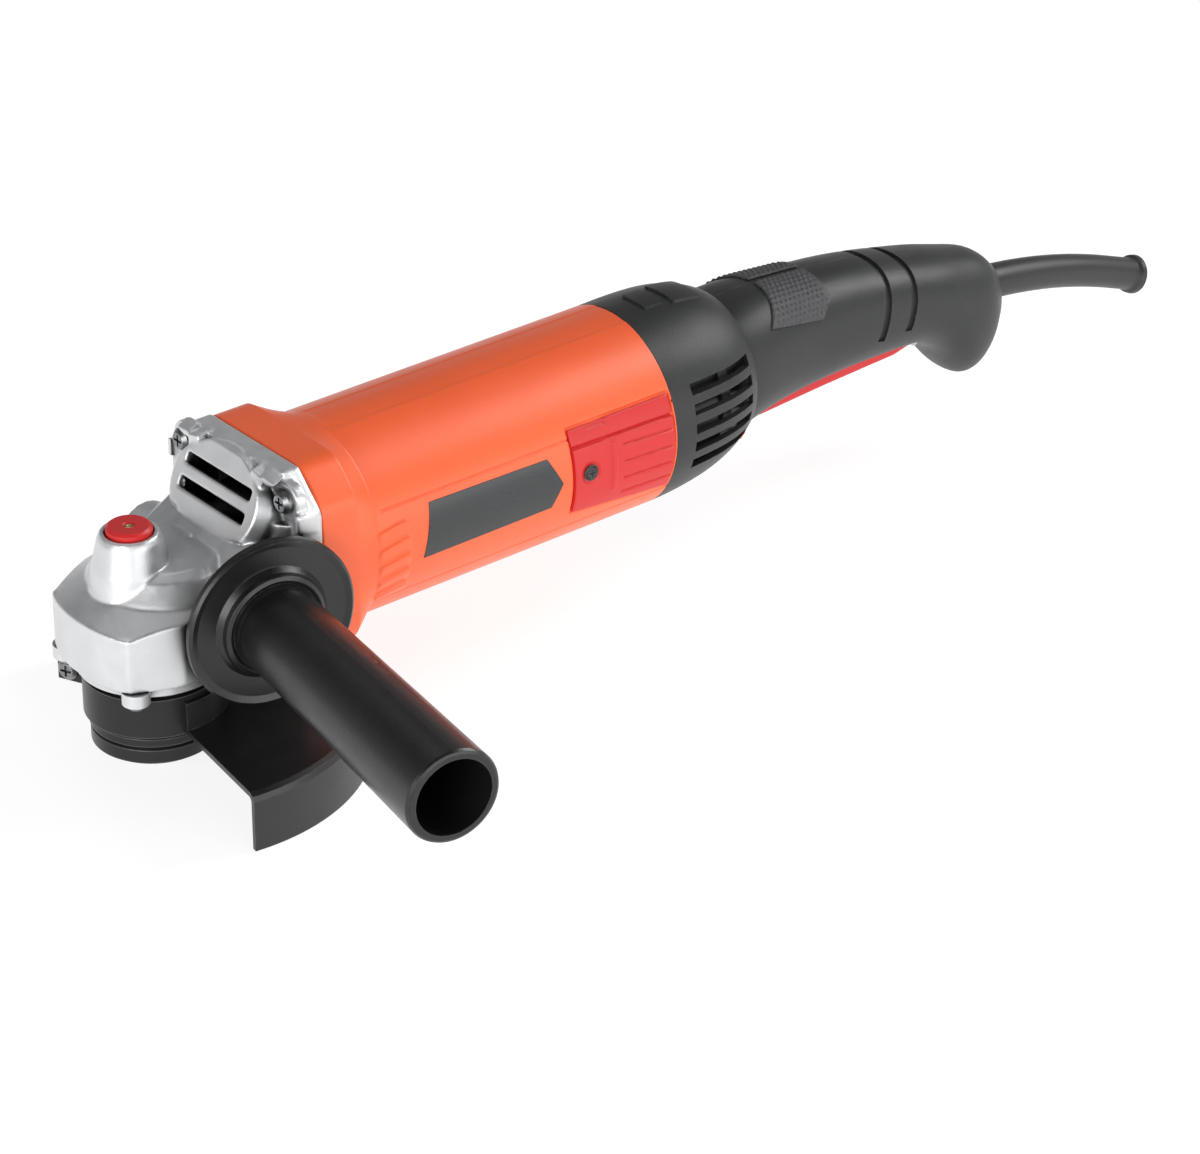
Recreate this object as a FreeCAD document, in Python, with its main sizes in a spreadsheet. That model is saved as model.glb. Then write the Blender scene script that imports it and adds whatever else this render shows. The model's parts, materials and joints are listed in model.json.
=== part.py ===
import FreeCAD, Part
import math
import os
import re
import Sketcher

V = FreeCAD.Vector
doc = FreeCAD.newDocument("angle_grinder")

# ---------------------------------------------------------------------------
# Driving dimensions (mm, degrees).  Frame: +Z up, +X towards the rear handle,
# -Y towards the side handle.  Origin: on the spindle axis, 3.1 mm inside the nose.
# ---------------------------------------------------------------------------
SIZES = {
    # motor axis and body lengths
    "axis_height": 58.5,
    "barrel_radius": 35,
    "barrel_wall": 2.6,
    "collar_front": 43,
    "collar_step": 57,
    "collar_back": 66,
    "barrel_back": 189,
    # gear case
    "flange_half_width": 35,
    "flange_half_height": 35.4,
    "flange_chamfer": 11.5,
    "flange_front": 35,
    "case_screw_offset": 27.4,
    "head_nose": 27.5,
    "head_bottom": 34,
    "head_top": 53,
    "gear_room_radius": 21.8,
    "cover_screw_offset": 19.2,
    "vent_tilt": 24.3,
    # spindle lock
    "button_offset": 6,
    "button_radius": 7.5,
    "button_top": 80.2,
    "pin_offset": 9,
    "pin_radius": 2,
    # spindle line
    "spindle_nose": -3.1,
    "thread_end": 2.3,
    "thread_relief": 6.7,
    "thread_radius": 7,
    "stack_radius": 20.8,
    "nut_bottom": 1.5,
    "band_bottom": 13.4,
    "band_top": 27,
    "neck_radius": 20.2,
    "band_wall": 2,
    # bevel gears
    "gear_teeth": 37,
    "pinion_teeth": 12,
    "gear_pitch_radius": 19.5,
    "face_width": 5.5,
    # guard for a 125 mm wheel
    "guard_radius": 69.4,
    "guard_bottom": -5,
    "guard_top": 15.2,
    "guard_sheet": 1.8,
    "guard_start": -98.6,
    "guard_sweep": 180,
    # motor
    "shaft_radius": 5,
    "core_radius": 21.6,
    "core_front": 76,
    "core_back": 126,
    "stator_inner": 22.2,
    "stator_outer": 31.3,
    "commutator_radius": 12,
    "commutator_front": 152,
    "commutator_back": 172,
    "brush_at": 162,
    "fan_radius": 29.5,
    # side handle
    "handle_root_x": 19.15,
    "handle_root_y": -40.5,
    "handle_root_z": 53.5,
    "handle_yaw": 8.3,
    "handle_pitch": 1.7,
    "handle_length": 114,
    "handle_flange_radius": 29.1,
    "handle_end_radius": 15.9,
    "handle_bore_radius": 13,
    "stud_radius": 5,
    # rear handle and lever
    "shell_wall": 2.6,
    "lever_pivot_x": 316,
    "lever_pivot_z": 47.5,
    "lever_front": 247,
    "lever_half_width": 8,
    "cord_bore_radius": 4.2,
}

sheet = doc.addObject("Spreadsheet::Sheet", "sizes")
for row, (alias, value) in enumerate(SIZES.items(), start=1):
    sheet.set(f"A{row}", alias)
    sheet.set(f"B{row}", str(value))
    sheet.setAlias(f"B{row}", alias)
doc.recompute()


def size(text):
    """The number that a formula of driving dimensions stands for."""
    return float(sheet.evalExpression(str(text)))


def formula(text):
    """The same formula, as an expression that reads each dimension from the sheet."""
    return re.sub(r"[a-z_]+", lambda m: "sizes." + m.group() if m.group() in SIZES else m.group(),
                  str(text))


def bind(thing, prop, text):
    """Binds a property to a formula of driving dimensions."""
    thing.setExpression(prop, formula(text))


# ---------------------------------------------------------------------------
# Ways of making a piece
# ---------------------------------------------------------------------------
PIECES = []


def piece(thing, name):
    """Names a finished object as one sub-part of the grinder."""
    thing.Label = name
    PIECES.append(thing)
    return thing


def outline(body, role, points):
    """A closed polygon on one of the body's origin planes, each corner bound to the sheet."""
    sketch = body.newObject("Sketcher::SketchObject", "outline")
    plane = next(f for f in body.Origin.OriginFeatures if f.Role == role)
    sketch.AttachmentSupport = [(plane, "")]
    sketch.MapMode = "FlatFace"
    corners = [V(size(a), size(b), 0) for a, b in points]
    for i, corner in enumerate(corners):
        sketch.addGeometry(Part.LineSegment(corner, corners[(i + 1) % len(corners)]))
    for i in range(len(corners)):
        sketch.addConstraint(Sketcher.Constraint("Coincident", i, 2, (i + 1) % len(corners), 1))
    for i, pair in enumerate(points):
        for kind, text in zip(("DistanceX", "DistanceY"), pair):
            at = sketch.addConstraint(Sketcher.Constraint(kind, -1, 1, i, 1, size(text)))
            sketch.setExpression(f"Constraints[{at}]", formula(text))
    return sketch


def turned(name, axis, profile, angle="360", centre=("0", "0", "0")):
    """A body turned about the X or Z direction; profile holds (along, radius) corners."""
    body = doc.addObject("PartDesign::Body", name)
    points = [(a, r) if axis == "X" else (r, a) for a, r in profile]
    sketch = outline(body, "XZ_Plane", points)
    turn = body.newObject("PartDesign::Revolution", name + "_turn")
    turn.Profile = sketch
    turn.ReferenceAxis = (sketch, ["H_Axis" if axis == "X" else "V_Axis"])
    bind(turn, "Angle", angle)
    for letter, text in zip("xyz", centre):
        bind(body, "Placement.Base." + letter, text)
    return body


def on_motor_axis(name, profile):
    """A body turned about the motor axis."""
    return turned(name, "X", profile, centre=("0", "0", "axis_height"))


def tube(name, axis, inner, outer, start, end, centre=("0", "0", "0")):
    """A plain ring or sleeve."""
    return turned(name, axis, [(start, inner), (end, inner), (end, outer), (start, outer)], centre=centre)


def plate(name, role, points, thickness, centre=("0", "0", "0")):
    """A body padded from a polygon on an origin plane."""
    body = doc.addObject("PartDesign::Body", name)
    sketch = outline(body, role, points)
    pad = body.newObject("PartDesign::Pad", name + "_pad")
    pad.Profile = sketch
    bind(pad, "Length", thickness)
    for letter, text in zip("xyz", centre):
        bind(body, "Placement.Base." + letter, text)
    return body


TURNS = {
    "X": FreeCAD.Rotation(V(0, 1, 0), 90),
    "Y": FreeCAD.Rotation(V(1, 0, 0), -90),
    "Z": FreeCAD.Rotation(),
}


def rod(name, axis, radius, length, start):
    """A cylinder from its start point along X, Y or Z."""
    thing = doc.addObject("Part::Cylinder", name)
    thing.Placement = FreeCAD.Placement(V(), TURNS[axis])
    bind(thing, "Radius", radius)
    bind(thing, "Height", length)
    for letter, text in zip("xyz", start):
        bind(thing, "Placement.Base." + letter, text)
    return thing


def block(name, low, high):
    """A box between two corners."""
    thing = doc.addObject("Part::Box", name)
    for side, letter, a, b in zip(("Length", "Width", "Height"), "xyz", low, high):
        bind(thing, side, f"({b}) - ({a})")
        bind(thing, "Placement.Base." + letter, a)
    return thing


def cut(name, base, *tools):
    """The base with every tool taken away."""
    for i, tool in enumerate(tools):
        result = doc.addObject("Part::Cut", f"{name}_cut{i}")
        result.Base = base
        result.Tool = tool
        base = result
    return base


def fuse(name, *parts):
    """Several objects joined as one solid, or kept as a group where they do not touch."""
    result = doc.addObject("Part::MultiFuse", name)
    result.Shapes = list(parts)
    return result


def common(name, first, second):
    result = doc.addObject("Part::Common", name)
    result.Base = first
    result.Tool = second
    return result


def shaped(name, shape):
    """A casting or moulding that is made of free surfaces."""
    thing = doc.addObject("Part::Feature", name)
    thing.Shape = shape
    return piece(thing, name)


# Plain solids for the free-form castings
def cylinder(axis, radius, start, length):
    return Part.makeCylinder(radius, length, V(*start), axis)


def box(low, high):
    return Part.makeBox(high[0] - low[0], high[1] - low[1], high[2] - low[2], V(*low))


def cone_stack(centre, steps, axis=V(0, 0, 1)):
    """A solid of revolution: steps are (along, radius), closed on its axis."""
    side = V(1, 0, 0) if abs(axis.z) > 0.5 else V(0, 0, 1)
    side = (side - axis * side.dot(axis)).normalize()
    points = [V(*centre) + axis * steps[0][0]]
    points += [V(*centre) + axis * a + side * r for a, r in steps]
    points += [V(*centre) + axis * steps[-1][0], points[0]]
    face = Part.Face(Part.makePolygon(points))
    return face.revolve(V(*centre), axis, 360)


def prism(points, direction):
    """A polygon pushed along a direction."""
    corners = [V(*p) for p in points]
    return Part.Face(Part.makePolygon(corners + corners[:1])).extrude(direction)


def mirrored(shape):
    """The same shape on the other side of the middle plane."""
    return shape.mirror(V(0, 0, 0), V(0, 1, 0))


def rounded(shape, radius, wanted):
    """Rounds each edge whose middle point satisfies the test."""
    edges = [e for e in shape.Edges if wanted(e, e.valueAt((e.FirstParameter + e.LastParameter) / 2))]
    return shape.makeFillet(radius, edges)


X, Y, Z = V(1, 0, 0), V(0, 1, 0), V(0, 0, 1)
AXIS = size("axis_height")


# ---------------------------------------------------------------------------
# Side handle: its direction, and the matching bosses of the gear case
# ---------------------------------------------------------------------------
yaw = math.radians(size("handle_yaw"))
pitch = math.radians(size("handle_pitch"))
HANDLE_ROOT = V(size("handle_root_x"), size("handle_root_y"), size("handle_root_z"))
HANDLE_WAY = V(-math.sin(yaw) * math.cos(pitch), -math.cos(yaw) * math.cos(pitch), -math.sin(pitch))
BOSS_FACE = -7
STUD_END = -19


def along_handle(radius, start, end):
    """A cylinder on the side handle's axis, measured outwards from the grip's flange."""
    return Part.makeCylinder(radius, end - start, HANDLE_ROOT + HANDLE_WAY * start, HANDLE_WAY)


def octagon(x, half_width, half_height, chamfer):
    """The squared collar section about the motor axis, as corner points at one x."""
    a, b, c = half_width, half_height, chamfer
    corners = [(a, b - c), (a - c, b), (c - a, b), (-a, b - c), (-a, c - b), (c - a, -b), (a - c, -b),
               (a, c - b)]
    return [(x, y, AXIS + z) for y, z in corners]


def collar_prism(start, end, shrink=0):
    """The squared collar between two stations, its long edges softened."""
    width, height = size("flange_half_width") - shrink, size("flange_half_height") - shrink
    solid = prism(octagon(start, width, height, size("flange_chamfer")), X * (end - start))
    return rounded(solid, 3, lambda e, m: start + 0.1 < m.x < end - 0.1)


def corner_screws(radius, start, end):
    """Four cylinders at the corners of the gear-case flange."""
    offset = size("case_screw_offset")
    spots = [(y, AXIS + z) for y in (-offset, offset) for z in (-offset, offset)]
    return [cylinder(X, radius, (start, y, z), end - start) for y, z in spots]


def cover_corners(radius, start, end):
    """Four cylinders at the corners of the bearing cover."""
    offset = size("cover_screw_offset")
    spots = [(x, y) for x in (-offset, offset) for y in (-offset, offset)]
    return [cylinder(Z, radius, (x, y, start), end - start) for x, y in spots]


# ---------------------------------------------------------------------------
# Gear case
# ---------------------------------------------------------------------------
tilt = math.radians(size("vent_tilt"))
VENT_CENTRE = V(28.5, 0, 85.6)
VENT_UP = V(math.sin(tilt), 0, math.cos(tilt))
VENT_IN = V(math.cos(tilt), 0, -math.sin(tilt))


def on_vent(y, up, depth=0):
    """A point of the slanted vent plate: sideways, up its slope and into the case."""
    return VENT_CENTRE + Y * y + VENT_UP * up + VENT_IN * depth


def vent_hood():
    """The rounded hood whose slanted front is the vent plate."""
    arcs = [
        ((-19, -15), (0, -17.7), (19, -15)),
        ((19, -15), (21.8, -6.5), (20, 1.6)),
        ((20, 1.6), (0, 11), (-20, 1.6)),
        ((-20, 1.6), (-21.8, -6.5), (-19, -15)),
    ]
    rings = []
    for depth, spread in ((0, 1), (4, 1.13), (16, 1.24)):
        edges = [Part.Arc(*[on_vent(y * spread, up, depth) for y, up in arc]).toShape() for arc in arcs]
        rings.append(Part.Wire(edges))
    hood = Part.makeLoft(rings, True, True)
    return hood.common(box((0, -40, 40), (size("flange_front") + 1, 40, 94.5)))


def vent_block(half, low, high, depth_from, depth_to):
    """A slot or duct square to the vent plate."""
    corners = [on_vent(y, s, depth_from)
               for y, s in ((-half, low), (half, low), (half, high), (-half, high))]
    return prism([tuple(c) for c in corners], VENT_IN * (depth_to - depth_from))


def head_drum():
    """The front of the gear case: a bowed nose between two corners, with a sloping shoulder."""
    bottom, nose = size("head_bottom"), size("head_nose")
    corners = [(-22.5, 21), (-6, 27.5), (20, 29), (20, -29), (-6, -27.5), (-22.5, -21)]
    sides = [Part.LineSegment(V(*a, bottom), V(*b, bottom)).toShape() for a, b in zip(corners, corners[1:])]
    bow = Part.Arc(V(*corners[-1], bottom), V(-nose, 0, bottom), V(*corners[0], bottom)).toShape()
    drum = Part.Face(Part.Wire(sides + [bow])).extrude(Z * 26)
    drum = rounded(drum, 3, lambda e, m: m.x < -2 and bottom + 1 < m.z < bottom + 25)
    top = size("head_top")
    shoulder = cone_stack((7, 0, 0), [(bottom, 60), (top, 60), (top, 35.2), (top + 6.5, 24.2)])
    return drum.common(shoulder)


def gear_case():
    front, rear = size("flange_front"), size("collar_front")
    dome = cone_stack((7, 0, 0), [(50, 25), (59.5, 25), (65.5, 20.4), (67.5, 17), (68.5, 0.01)])
    boss = cone_stack((-size("button_offset"), 0, 0), [(55, 14), (66, 12.6), (76, 10.3), (78, 9.3)])
    middle_front = [(x, y, z - 10.5) for x, y, z in octagon(8, 27, 14, 5)]
    middle_back = [(x, y, z - 2.5) for x, y, z in octagon(front + 1, 30, 22, 8)]
    rings = [Part.makePolygon([V(*p) for p in ring + ring[:1]]) for ring in (middle_front, middle_back)]
    middle = Part.makeLoft(rings, True, True)
    side_boss = along_handle(12.5, -24, BOSS_FACE)
    spare_boss = mirrored(along_handle(12, -24, BOSS_FACE - 2))
    body = head_drum()
    for part in (dome, boss, middle, vent_hood(), collar_prism(front, rear), side_boss, spare_boss):
        body = body.fuse(part)
    for part in corner_screws(6, front, front + 4):
        body = body.fuse(part)
    body = body.removeSplitter()
    hollows = [
        cylinder(Z, size("gear_room_radius"), (0, 0, 30), 25.5),
        cylinder(X, 9, (8.5, 0, AXIS), 20),
        cylinder(X, 13.4, (23.2, 0, AXIS), 3),
        cylinder(X, 16.6, (24.7, 0, AXIS), 20),
        cylinder(X, 31.4, (37, 0, AXIS), 10),
        cylinder(Z, 5, (0, 0, 50), 17.5),
        cylinder(Z, size("pin_radius") + 0.1, (-size("pin_offset"), 0, 50), 22),
        cylinder(Z, size("button_radius") + 0.2, (-size("button_offset"), 0, 69.5), 12),
        vent_block(17.6, -11, 3, 2.6, 20),
        vent_block(17.3, -1.9, 2, -3, 5),
        vent_block(17.3, -10, -6.1, -3, 5),
        along_handle(size("stud_radius") + 0.05, STUD_END - 0.5, 0),
        mirrored(along_handle(size("stud_radius") + 0.05, STUD_END - 0.5, 0)),
    ]
    hollows += corner_screws(2.2, 30, 46) + corner_screws(4.3, 18, front)
    hollows += cover_corners(1.8, 30, 43)
    for hollow in hollows:
        body = body.cut(hollow)
    return shaped("gear_case", body)


# ---------------------------------------------------------------------------
# Parts screwed to the gear case
# ---------------------------------------------------------------------------
def bearing_cover():
    """The round neck that carries the guard and holds the spindle bearing."""
    neck = [(16, 9.5), (19, 9.5), (19, 17.5), (30, 17.5), (30, 20), (33.9, 20), (33.9, 24), (29.5, 24),
            (29.5, 20.2)]
    neck.append((16, "neck_radius"))
    ring = turned("cover_ring", "Z", neck)
    lugs = []
    for i, (sx, sy) in enumerate(((-1, -1), (-1, 1), (1, -1), (1, 1))):
        spot = (f"{sx} * cover_screw_offset", f"{sy} * cover_screw_offset")
        lug = rod(f"cover_lug{i}", "Z", "4.6", "4.4", (*spot, "29.5"))
        web_low = (f"min({sx} * cover_screw_offset; {sx} * 14)",
                   f"min({sy} * cover_screw_offset; {sy} * 14)")
        web_high = (f"max({sx} * cover_screw_offset; {sx} * 14)",
                    f"max({sy} * cover_screw_offset; {sy} * 14)")
        web = block(f"cover_web{i}", (*web_low, "29.5"), (*web_high, "33.9"))
        lugs += [lug, cut(f"cover_web_open{i}", web,
                          rod(f"cover_room{i}", "Z", "20.5", "20", ("0", "0", "20")))]
    body = fuse("cover_body", ring, *lugs)
    holes = fuse("cover_holes", *[
        rod(f"cover_hole{i}", "Z", "1.8", "20",
            (f"{sx} * cover_screw_offset", f"{sy} * cover_screw_offset", "20"))
        for i, (sx, sy) in enumerate(((-1, -1), (-1, 1), (1, -1), (1, 1)))])
    return piece(cut("bearing_cover", body, holes), "bearing_cover")


def cross_screw(way, at, shank_radius, length, head_radius, head_height):
    """A pan-head screw with a cross recess; way points from its head to its tip."""
    start = V(*at)
    head = [(-head_height, head_radius * 0.7), (-head_height * 0.55, head_radius), (0, head_radius)]
    shape = cone_stack(at, head, way).fuse(Part.makeCylinder(shank_radius, length, start, way))
    side = Y if abs(way.y) < 0.5 else Z
    reach = head_radius * 0.55
    for a, b in ((side, way.cross(side)), (way.cross(side), side)):
        corner = start - way * (head_height + 0.1) - a * reach - b * 0.45
        loop = [corner, corner + a * reach * 2, corner + a * reach * 2 + b * 0.9, corner + b * 0.9, corner]
        shape = shape.cut(Part.Face(Part.makePolygon(loop)).extrude(way * head_height * 0.6))
    return shape


def gear_case_screws():
    offset = size("case_screw_offset")
    face = size("flange_front")
    spots = [(face, y, AXIS + z) for y in (-offset, offset) for z in (-offset, offset)]
    screws = [cross_screw(X, spot, 2, 22, 3.9, 2.9) for spot in spots]
    return shaped("gear_case_screws", Part.makeCompound(screws))


def bearing_cover_screws():
    offset = size("cover_screw_offset")
    spots = [(x, y, 29.5) for x in (-offset, offset) for y in (-offset, offset)]
    screws = [cross_screw(Z, spot, 1.7, 12, 3.2, 2.2) for spot in spots]
    return shaped("bearing_cover_screws", Part.makeCompound(screws))


def bearing_plate():
    """The plate between gear room and motor, with the seat of the front motor bearing."""
    profile = [(25, 9.5), (28, 9.5), (28, 13.05), (40, 13.05), (40, 28.5), (43, 28.5), (43, 31.2)]
    profile += [(37.1, 31.2), (37.1, 16.4), (25, 16.4)]
    disc = on_motor_axis("plate_disc", profile)
    air = block("plate_air", ("20", "-12", "76"), ("50", "12", "84"))
    return piece(cut("bearing_plate", disc, air), "bearing_plate")


def ball_bearing(name, axis, bore, outer, start, width, balls):
    """Two races and a ring of balls, each a solid of its own."""
    middle = (bore + outer) / 2
    ball = (outer - bore) * 0.26
    centre = (0, 0, AXIS) if axis is X else (0, 0, 0)
    origin = V(*centre)
    solids = []
    for low, high in ((bore, middle - ball * 0.75), (middle + ball * 0.75, outer)):
        ring = Part.makeCylinder(high, width, origin + axis * start, axis)
        solids.append(ring.cut(Part.makeCylinder(low, width, origin + axis * start, axis)))
    groove = Part.makeTorus(middle, ball + 0.05, origin + axis * (start + width / 2), axis)
    solids = [ring.cut(groove) for ring in solids]
    side = Y
    for i in range(balls):
        turn = FreeCAD.Rotation(axis, 360 * i / balls)
        solids.append(Part.makeSphere(ball,
                                      origin + axis * (start + width / 2) + turn.multVec(side * middle)))
    return shaped(name, Part.makeCompound(solids))


# ---------------------------------------------------------------------------
# Spindle line
# ---------------------------------------------------------------------------
def spindle():
    profile = [("spindle_nose", 0), ("spindle_nose", 6.2), ("spindle_nose + 0.8", "thread_radius")]
    profile += [("thread_end", "thread_radius"), ("thread_end", "thread_relief")]
    profile += [(14.4, "thread_relief"), (14.4, 9.3), (18.9, 9.3)]
    profile += [(18.9, 7.5), (31, 7.5), (31, 8.5), (43.4, 8.5), (43.4, 5), (51.5, 5), (51.5, 3.2),
                (66.5, 3.2), (66.5, 0)]
    return piece(turned("spindle", "Z", profile), "spindle")


def inner_flange():
    profile = [(8.6, "thread_relief + 0.05"), (14.3, "thread_relief + 0.05"), (14.3, 11), (13, 11),
               (13, "stack_radius - 1.2"),
               (11.8, "stack_radius")]
    profile += [(9.2, "stack_radius"), (8.6, "stack_radius - 0.8")]
    return piece(turned("inner_flange", "Z", profile), "inner_flange")


def lock_nut():
    """The round nut, dished underneath, with two holes for its pin spanner."""
    profile = [("nut_bottom", 12.6), (2.5, 12.6), (2.5, "thread_relief + 0.05"),
               (8.5, "thread_relief + 0.05"),
               (8.5, "stack_radius - 1.3"), (7.6, "stack_radius - 0.3")]
    profile += [("nut_bottom + 1.6", "stack_radius - 0.3"), ("nut_bottom", "stack_radius - 2.6")]
    ring = turned("nut_ring", "Z", profile)
    holes = [rod(f"nut_hole{i}", "Z", "1.9", "4", (f"{sign} * 15.3", "0", "0"))
             for i, sign in enumerate((-1, 1))]
    return piece(cut("lock_nut", ring, *holes), "lock_nut")


GEAR_LEAN = math.atan2(size("gear_teeth"), size("pinion_teeth"))
PINION_LEAN = math.pi / 2 - GEAR_LEAN
APEX = V(0, 0, AXIS)
CONE_LENGTH = size("gear_pitch_radius") / math.sin(GEAR_LEAN)
KEEP = 1 - size("face_width") / CONE_LENGTH
ADDENDUM, DEDENDUM = 0.95, 1.2


def bevel_teeth(axis, lean, start, count, first):
    """The teeth of one bevel gear; start is the sideways direction that first is measured from."""
    teeth = []
    for i in range(count):
        turn = FreeCAD.Rotation(axis, first + 360 * i / count)
        out = turn.multVec(start)
        across = axis.cross(out)
        pitch_point = (axis * math.cos(lean) + out * math.sin(lean)) * CONE_LENGTH
        away = out * math.cos(lean) - axis * math.sin(lean)
        big = [pitch_point + away * h + across * w
               for h, w in ((-DEDENDUM - 0.2, -0.8), (ADDENDUM, -0.42), (ADDENDUM, 0.42),
                            (-DEDENDUM - 0.2, 0.8))]
        rings = [Part.makePolygon([APEX + p * k for p in big + big[:1]]) for k in (1, KEEP)]
        teeth.append(Part.makeLoft(rings, True, True))
    return teeth


def root_points(lean):
    """The toothed cone's root line, outer end first, as (along, radius) from the apex."""
    along = CONE_LENGTH * math.cos(lean) + DEDENDUM * math.sin(lean)
    radius = CONE_LENGTH * math.sin(lean) - DEDENDUM * math.cos(lean)
    return (along, radius), (along * KEEP, radius * KEEP)


def bevel_gear():
    outer, inner = root_points(GEAR_LEAN)
    steps = [(43.6, 15), (47.5, outer[1]), (AXIS - outer[0], outer[1]), (AXIS - inner[0], inner[1]),
             (50, inner[1] - 1.6)]
    body = cone_stack((0, 0, 0), steps)
    half_pitch = 180 / size("gear_teeth")
    for tooth in bevel_teeth(-Z, GEAR_LEAN, X, int(size("gear_teeth")), half_pitch):
        body = body.fuse(tooth)
    body = body.cut(cylinder(Z, 5.05, (0, 0, 40), 20))
    for i in range(6):
        way = FreeCAD.Rotation(Z, 60 * i).multVec(-X * size("pin_offset"))
        body = body.cut(cylinder(Z, 2.4, (way.x, way.y, 45.5), 10))
    return shaped("bevel_gear", body)


def pinion():
    outer, inner = root_points(PINION_LEAN)
    steps = [(13.6, inner[1] - 0.2), (inner[0], inner[1]), (outer[0], outer[1]), (20.3, outer[1]),
             (20.3, 6.8), (24.5, 6.8)]
    body = cone_stack((0, 0, AXIS), steps, X)
    for tooth in bevel_teeth(X, PINION_LEAN, -Z, int(size("pinion_teeth")), 0):
        body = body.fuse(tooth)
    return shaped("pinion", body.cut(cylinder(X, 3.03, (10, 0, AXIS), 20)))


def gear_clip():
    """The spring ring that holds the bevel gear down on its seat."""
    ring = tube("clip_ring", "Z", "5.02", "6.6", "50.1", "51.1")
    gap = block("clip_gap", ("2", "-1.5", "49"), ("9", "1.5", "52"))
    return piece(cut("gear_clip", ring, gap), "gear_clip")


# ---------------------------------------------------------------------------
# Spindle lock
# ---------------------------------------------------------------------------
def lock_button():
    """The red cap, hollow underneath for its spring."""
    profile = [(75, 6), (77.6, 6), (77.6, 0), ("button_top - 0.6", 0), ("button_top - 0.6", 1.6),
               ("button_top", 2.1)]
    profile += [("button_top", "button_radius - 1"), ("button_top - 0.8", "button_radius"),
                (75, "button_radius")]
    return piece(turned("lock_button", "Z", profile, centre=("-button_offset", "0", "0")), "lock_button")


def lock_pin():
    pin = rod("pin_rod", "Z", "pin_radius", "26.5", ("-pin_offset", "0", "51.1"))
    return piece(pin, "lock_pin")


def coil(centre, axis, radius, wire, start, end, turns):
    """A small spring, drawn as a stack of closed turns."""
    step = (end - start - 2 * wire) / (turns - 1)
    middle = V(*centre)
    rings = [Part.makeTorus(radius, wire, middle + axis * (start + wire + step * i), axis)
             for i in range(turns)]
    return Part.makeCompound(rings)


# ---------------------------------------------------------------------------
# Motor
# ---------------------------------------------------------------------------
def armature_shaft():
    profile = [(9.8, 0), (9.8, 2.95), (24.6, 2.95), (24.6, "shaft_radius"), (172.5, "shaft_radius"),
               (172.5, 4), (183.5, 4)]
    profile.append((183.5, 0))
    return piece(on_motor_axis("armature_shaft", profile), "armature_shaft")


def pinion_nut():
    """A hexagon nut on the front end of the armature shaft."""
    corners = [(f"4.2 * cos({60 * i})", f"4.2 * sin({60 * i})") for i in range(6)]
    body = plate("pinion_nut_hex", "YZ_Plane", corners, "2.9", ("10.5", "0", "axis_height"))
    hole = rod("pinion_nut_hole", "X", "2.98", "10", ("5", "0", "axis_height"))
    return piece(cut("pinion_nut", body, hole), "pinion_nut")


def radial_slots(name, base, count, inner, outer, half_width, start, end):
    """Takes evenly spaced lengthwise slots out of a ring on the motor axis."""
    tools = []
    for i in range(count):
        slot = block(f"{name}_slot{i}", (start, f"-({half_width})", inner), (end, half_width, outer))
        # A slot is turned about the motor axis, so its place no longer follows its own corner.
        for letter in "xyz":
            slot.setExpression("Placement.Base." + letter, None)
        turned = FreeCAD.Placement(V(size(start), 0, AXIS), FreeCAD.Rotation(X, 360 * i / count))
        corner = FreeCAD.Placement(V(0, -size(half_width), size(inner)), FreeCAD.Rotation())
        slot.Placement = turned.multiply(corner)
        tools.append(slot)
    return cut(name, base, fuse(name + "_slots", *tools))


def armature_core():
    ring = on_motor_axis("core_ring", [("core_front", "shaft_radius"), ("core_back", "shaft_radius"),
                                       ("core_back", "core_radius"), ("core_front", "core_radius")])
    return piece(radial_slots("armature_core", ring, 12, "13", "core_radius + 1", "1.5", "core_front - 1",
                              "core_back + 1"), "armature_core")


def armature_windings():
    """The wire in the slots and the two rounded ends."""
    ends = []
    for start, end in (("core_front - 11", "core_front - 0.1"), ("core_back + 0.1", "core_back + 14")):
        ring = [(start, "shaft_radius + 1"), (end, "shaft_radius + 1"), (end, "core_radius - 2"),
                (start, "core_radius - 5")]
        ends.append(on_motor_axis("winding_end", ring))
    bars = []
    for i in range(12):
        way = FreeCAD.Rotation(X, 360 * i / 12).multVec(Z * 17)
        bars.append(rod(f"winding_bar{i}", "X", "1.35", "core_back - core_front + 2",
                        ("core_front - 1", f"{way.y}", f"axis_height + {way.z}")))
    return piece(fuse("armature_windings", *ends, *bars), "armature_windings")


def commutator():
    ring = on_motor_axis("commutator_ring", [("commutator_front", "shaft_radius"),
                                             ("commutator_back", "shaft_radius"),
                                             ("commutator_back", "commutator_radius"),
                                             ("commutator_front + 3", "commutator_radius"),
                                             ("commutator_front + 3", "commutator_radius + 2"),
                                             ("commutator_front", "commutator_radius + 2")])
    return piece(radial_slots("commutator", ring, 24, "commutator_radius - 1", "commutator_radius + 3",
                              "0.25",
                              "commutator_front - 1", "commutator_back + 1"), "commutator")


def fan():
    """The cooling fan: a hub, a back disc and curved blades leaning one way."""
    hub = cone_stack((0, 0, AXIS), [(47.5, 9), (59, 9), (59, size("fan_radius")),
                                    (60.5, size("fan_radius")), (60.5, 9),
                                    (63, 9)], X)
    for i in range(14):
        blade = box((49.5, 8, AXIS - 0.6), (59.5, size("fan_radius") - 0.5, AXIS + 0.6))
        blade.rotate(V(54, 10, AXIS), X, 24)
        blade.rotate(V(0, 0, AXIS), X, 360 * i / 14)
        hub = hub.fuse(blade)
    limit = cylinder(X, size("fan_radius"), (45, 0, AXIS), 20)
    return shaped("fan", hub.common(limit).cut(cylinder(X, size("shaft_radius"), (40, 0, AXIS), 30)))


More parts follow.
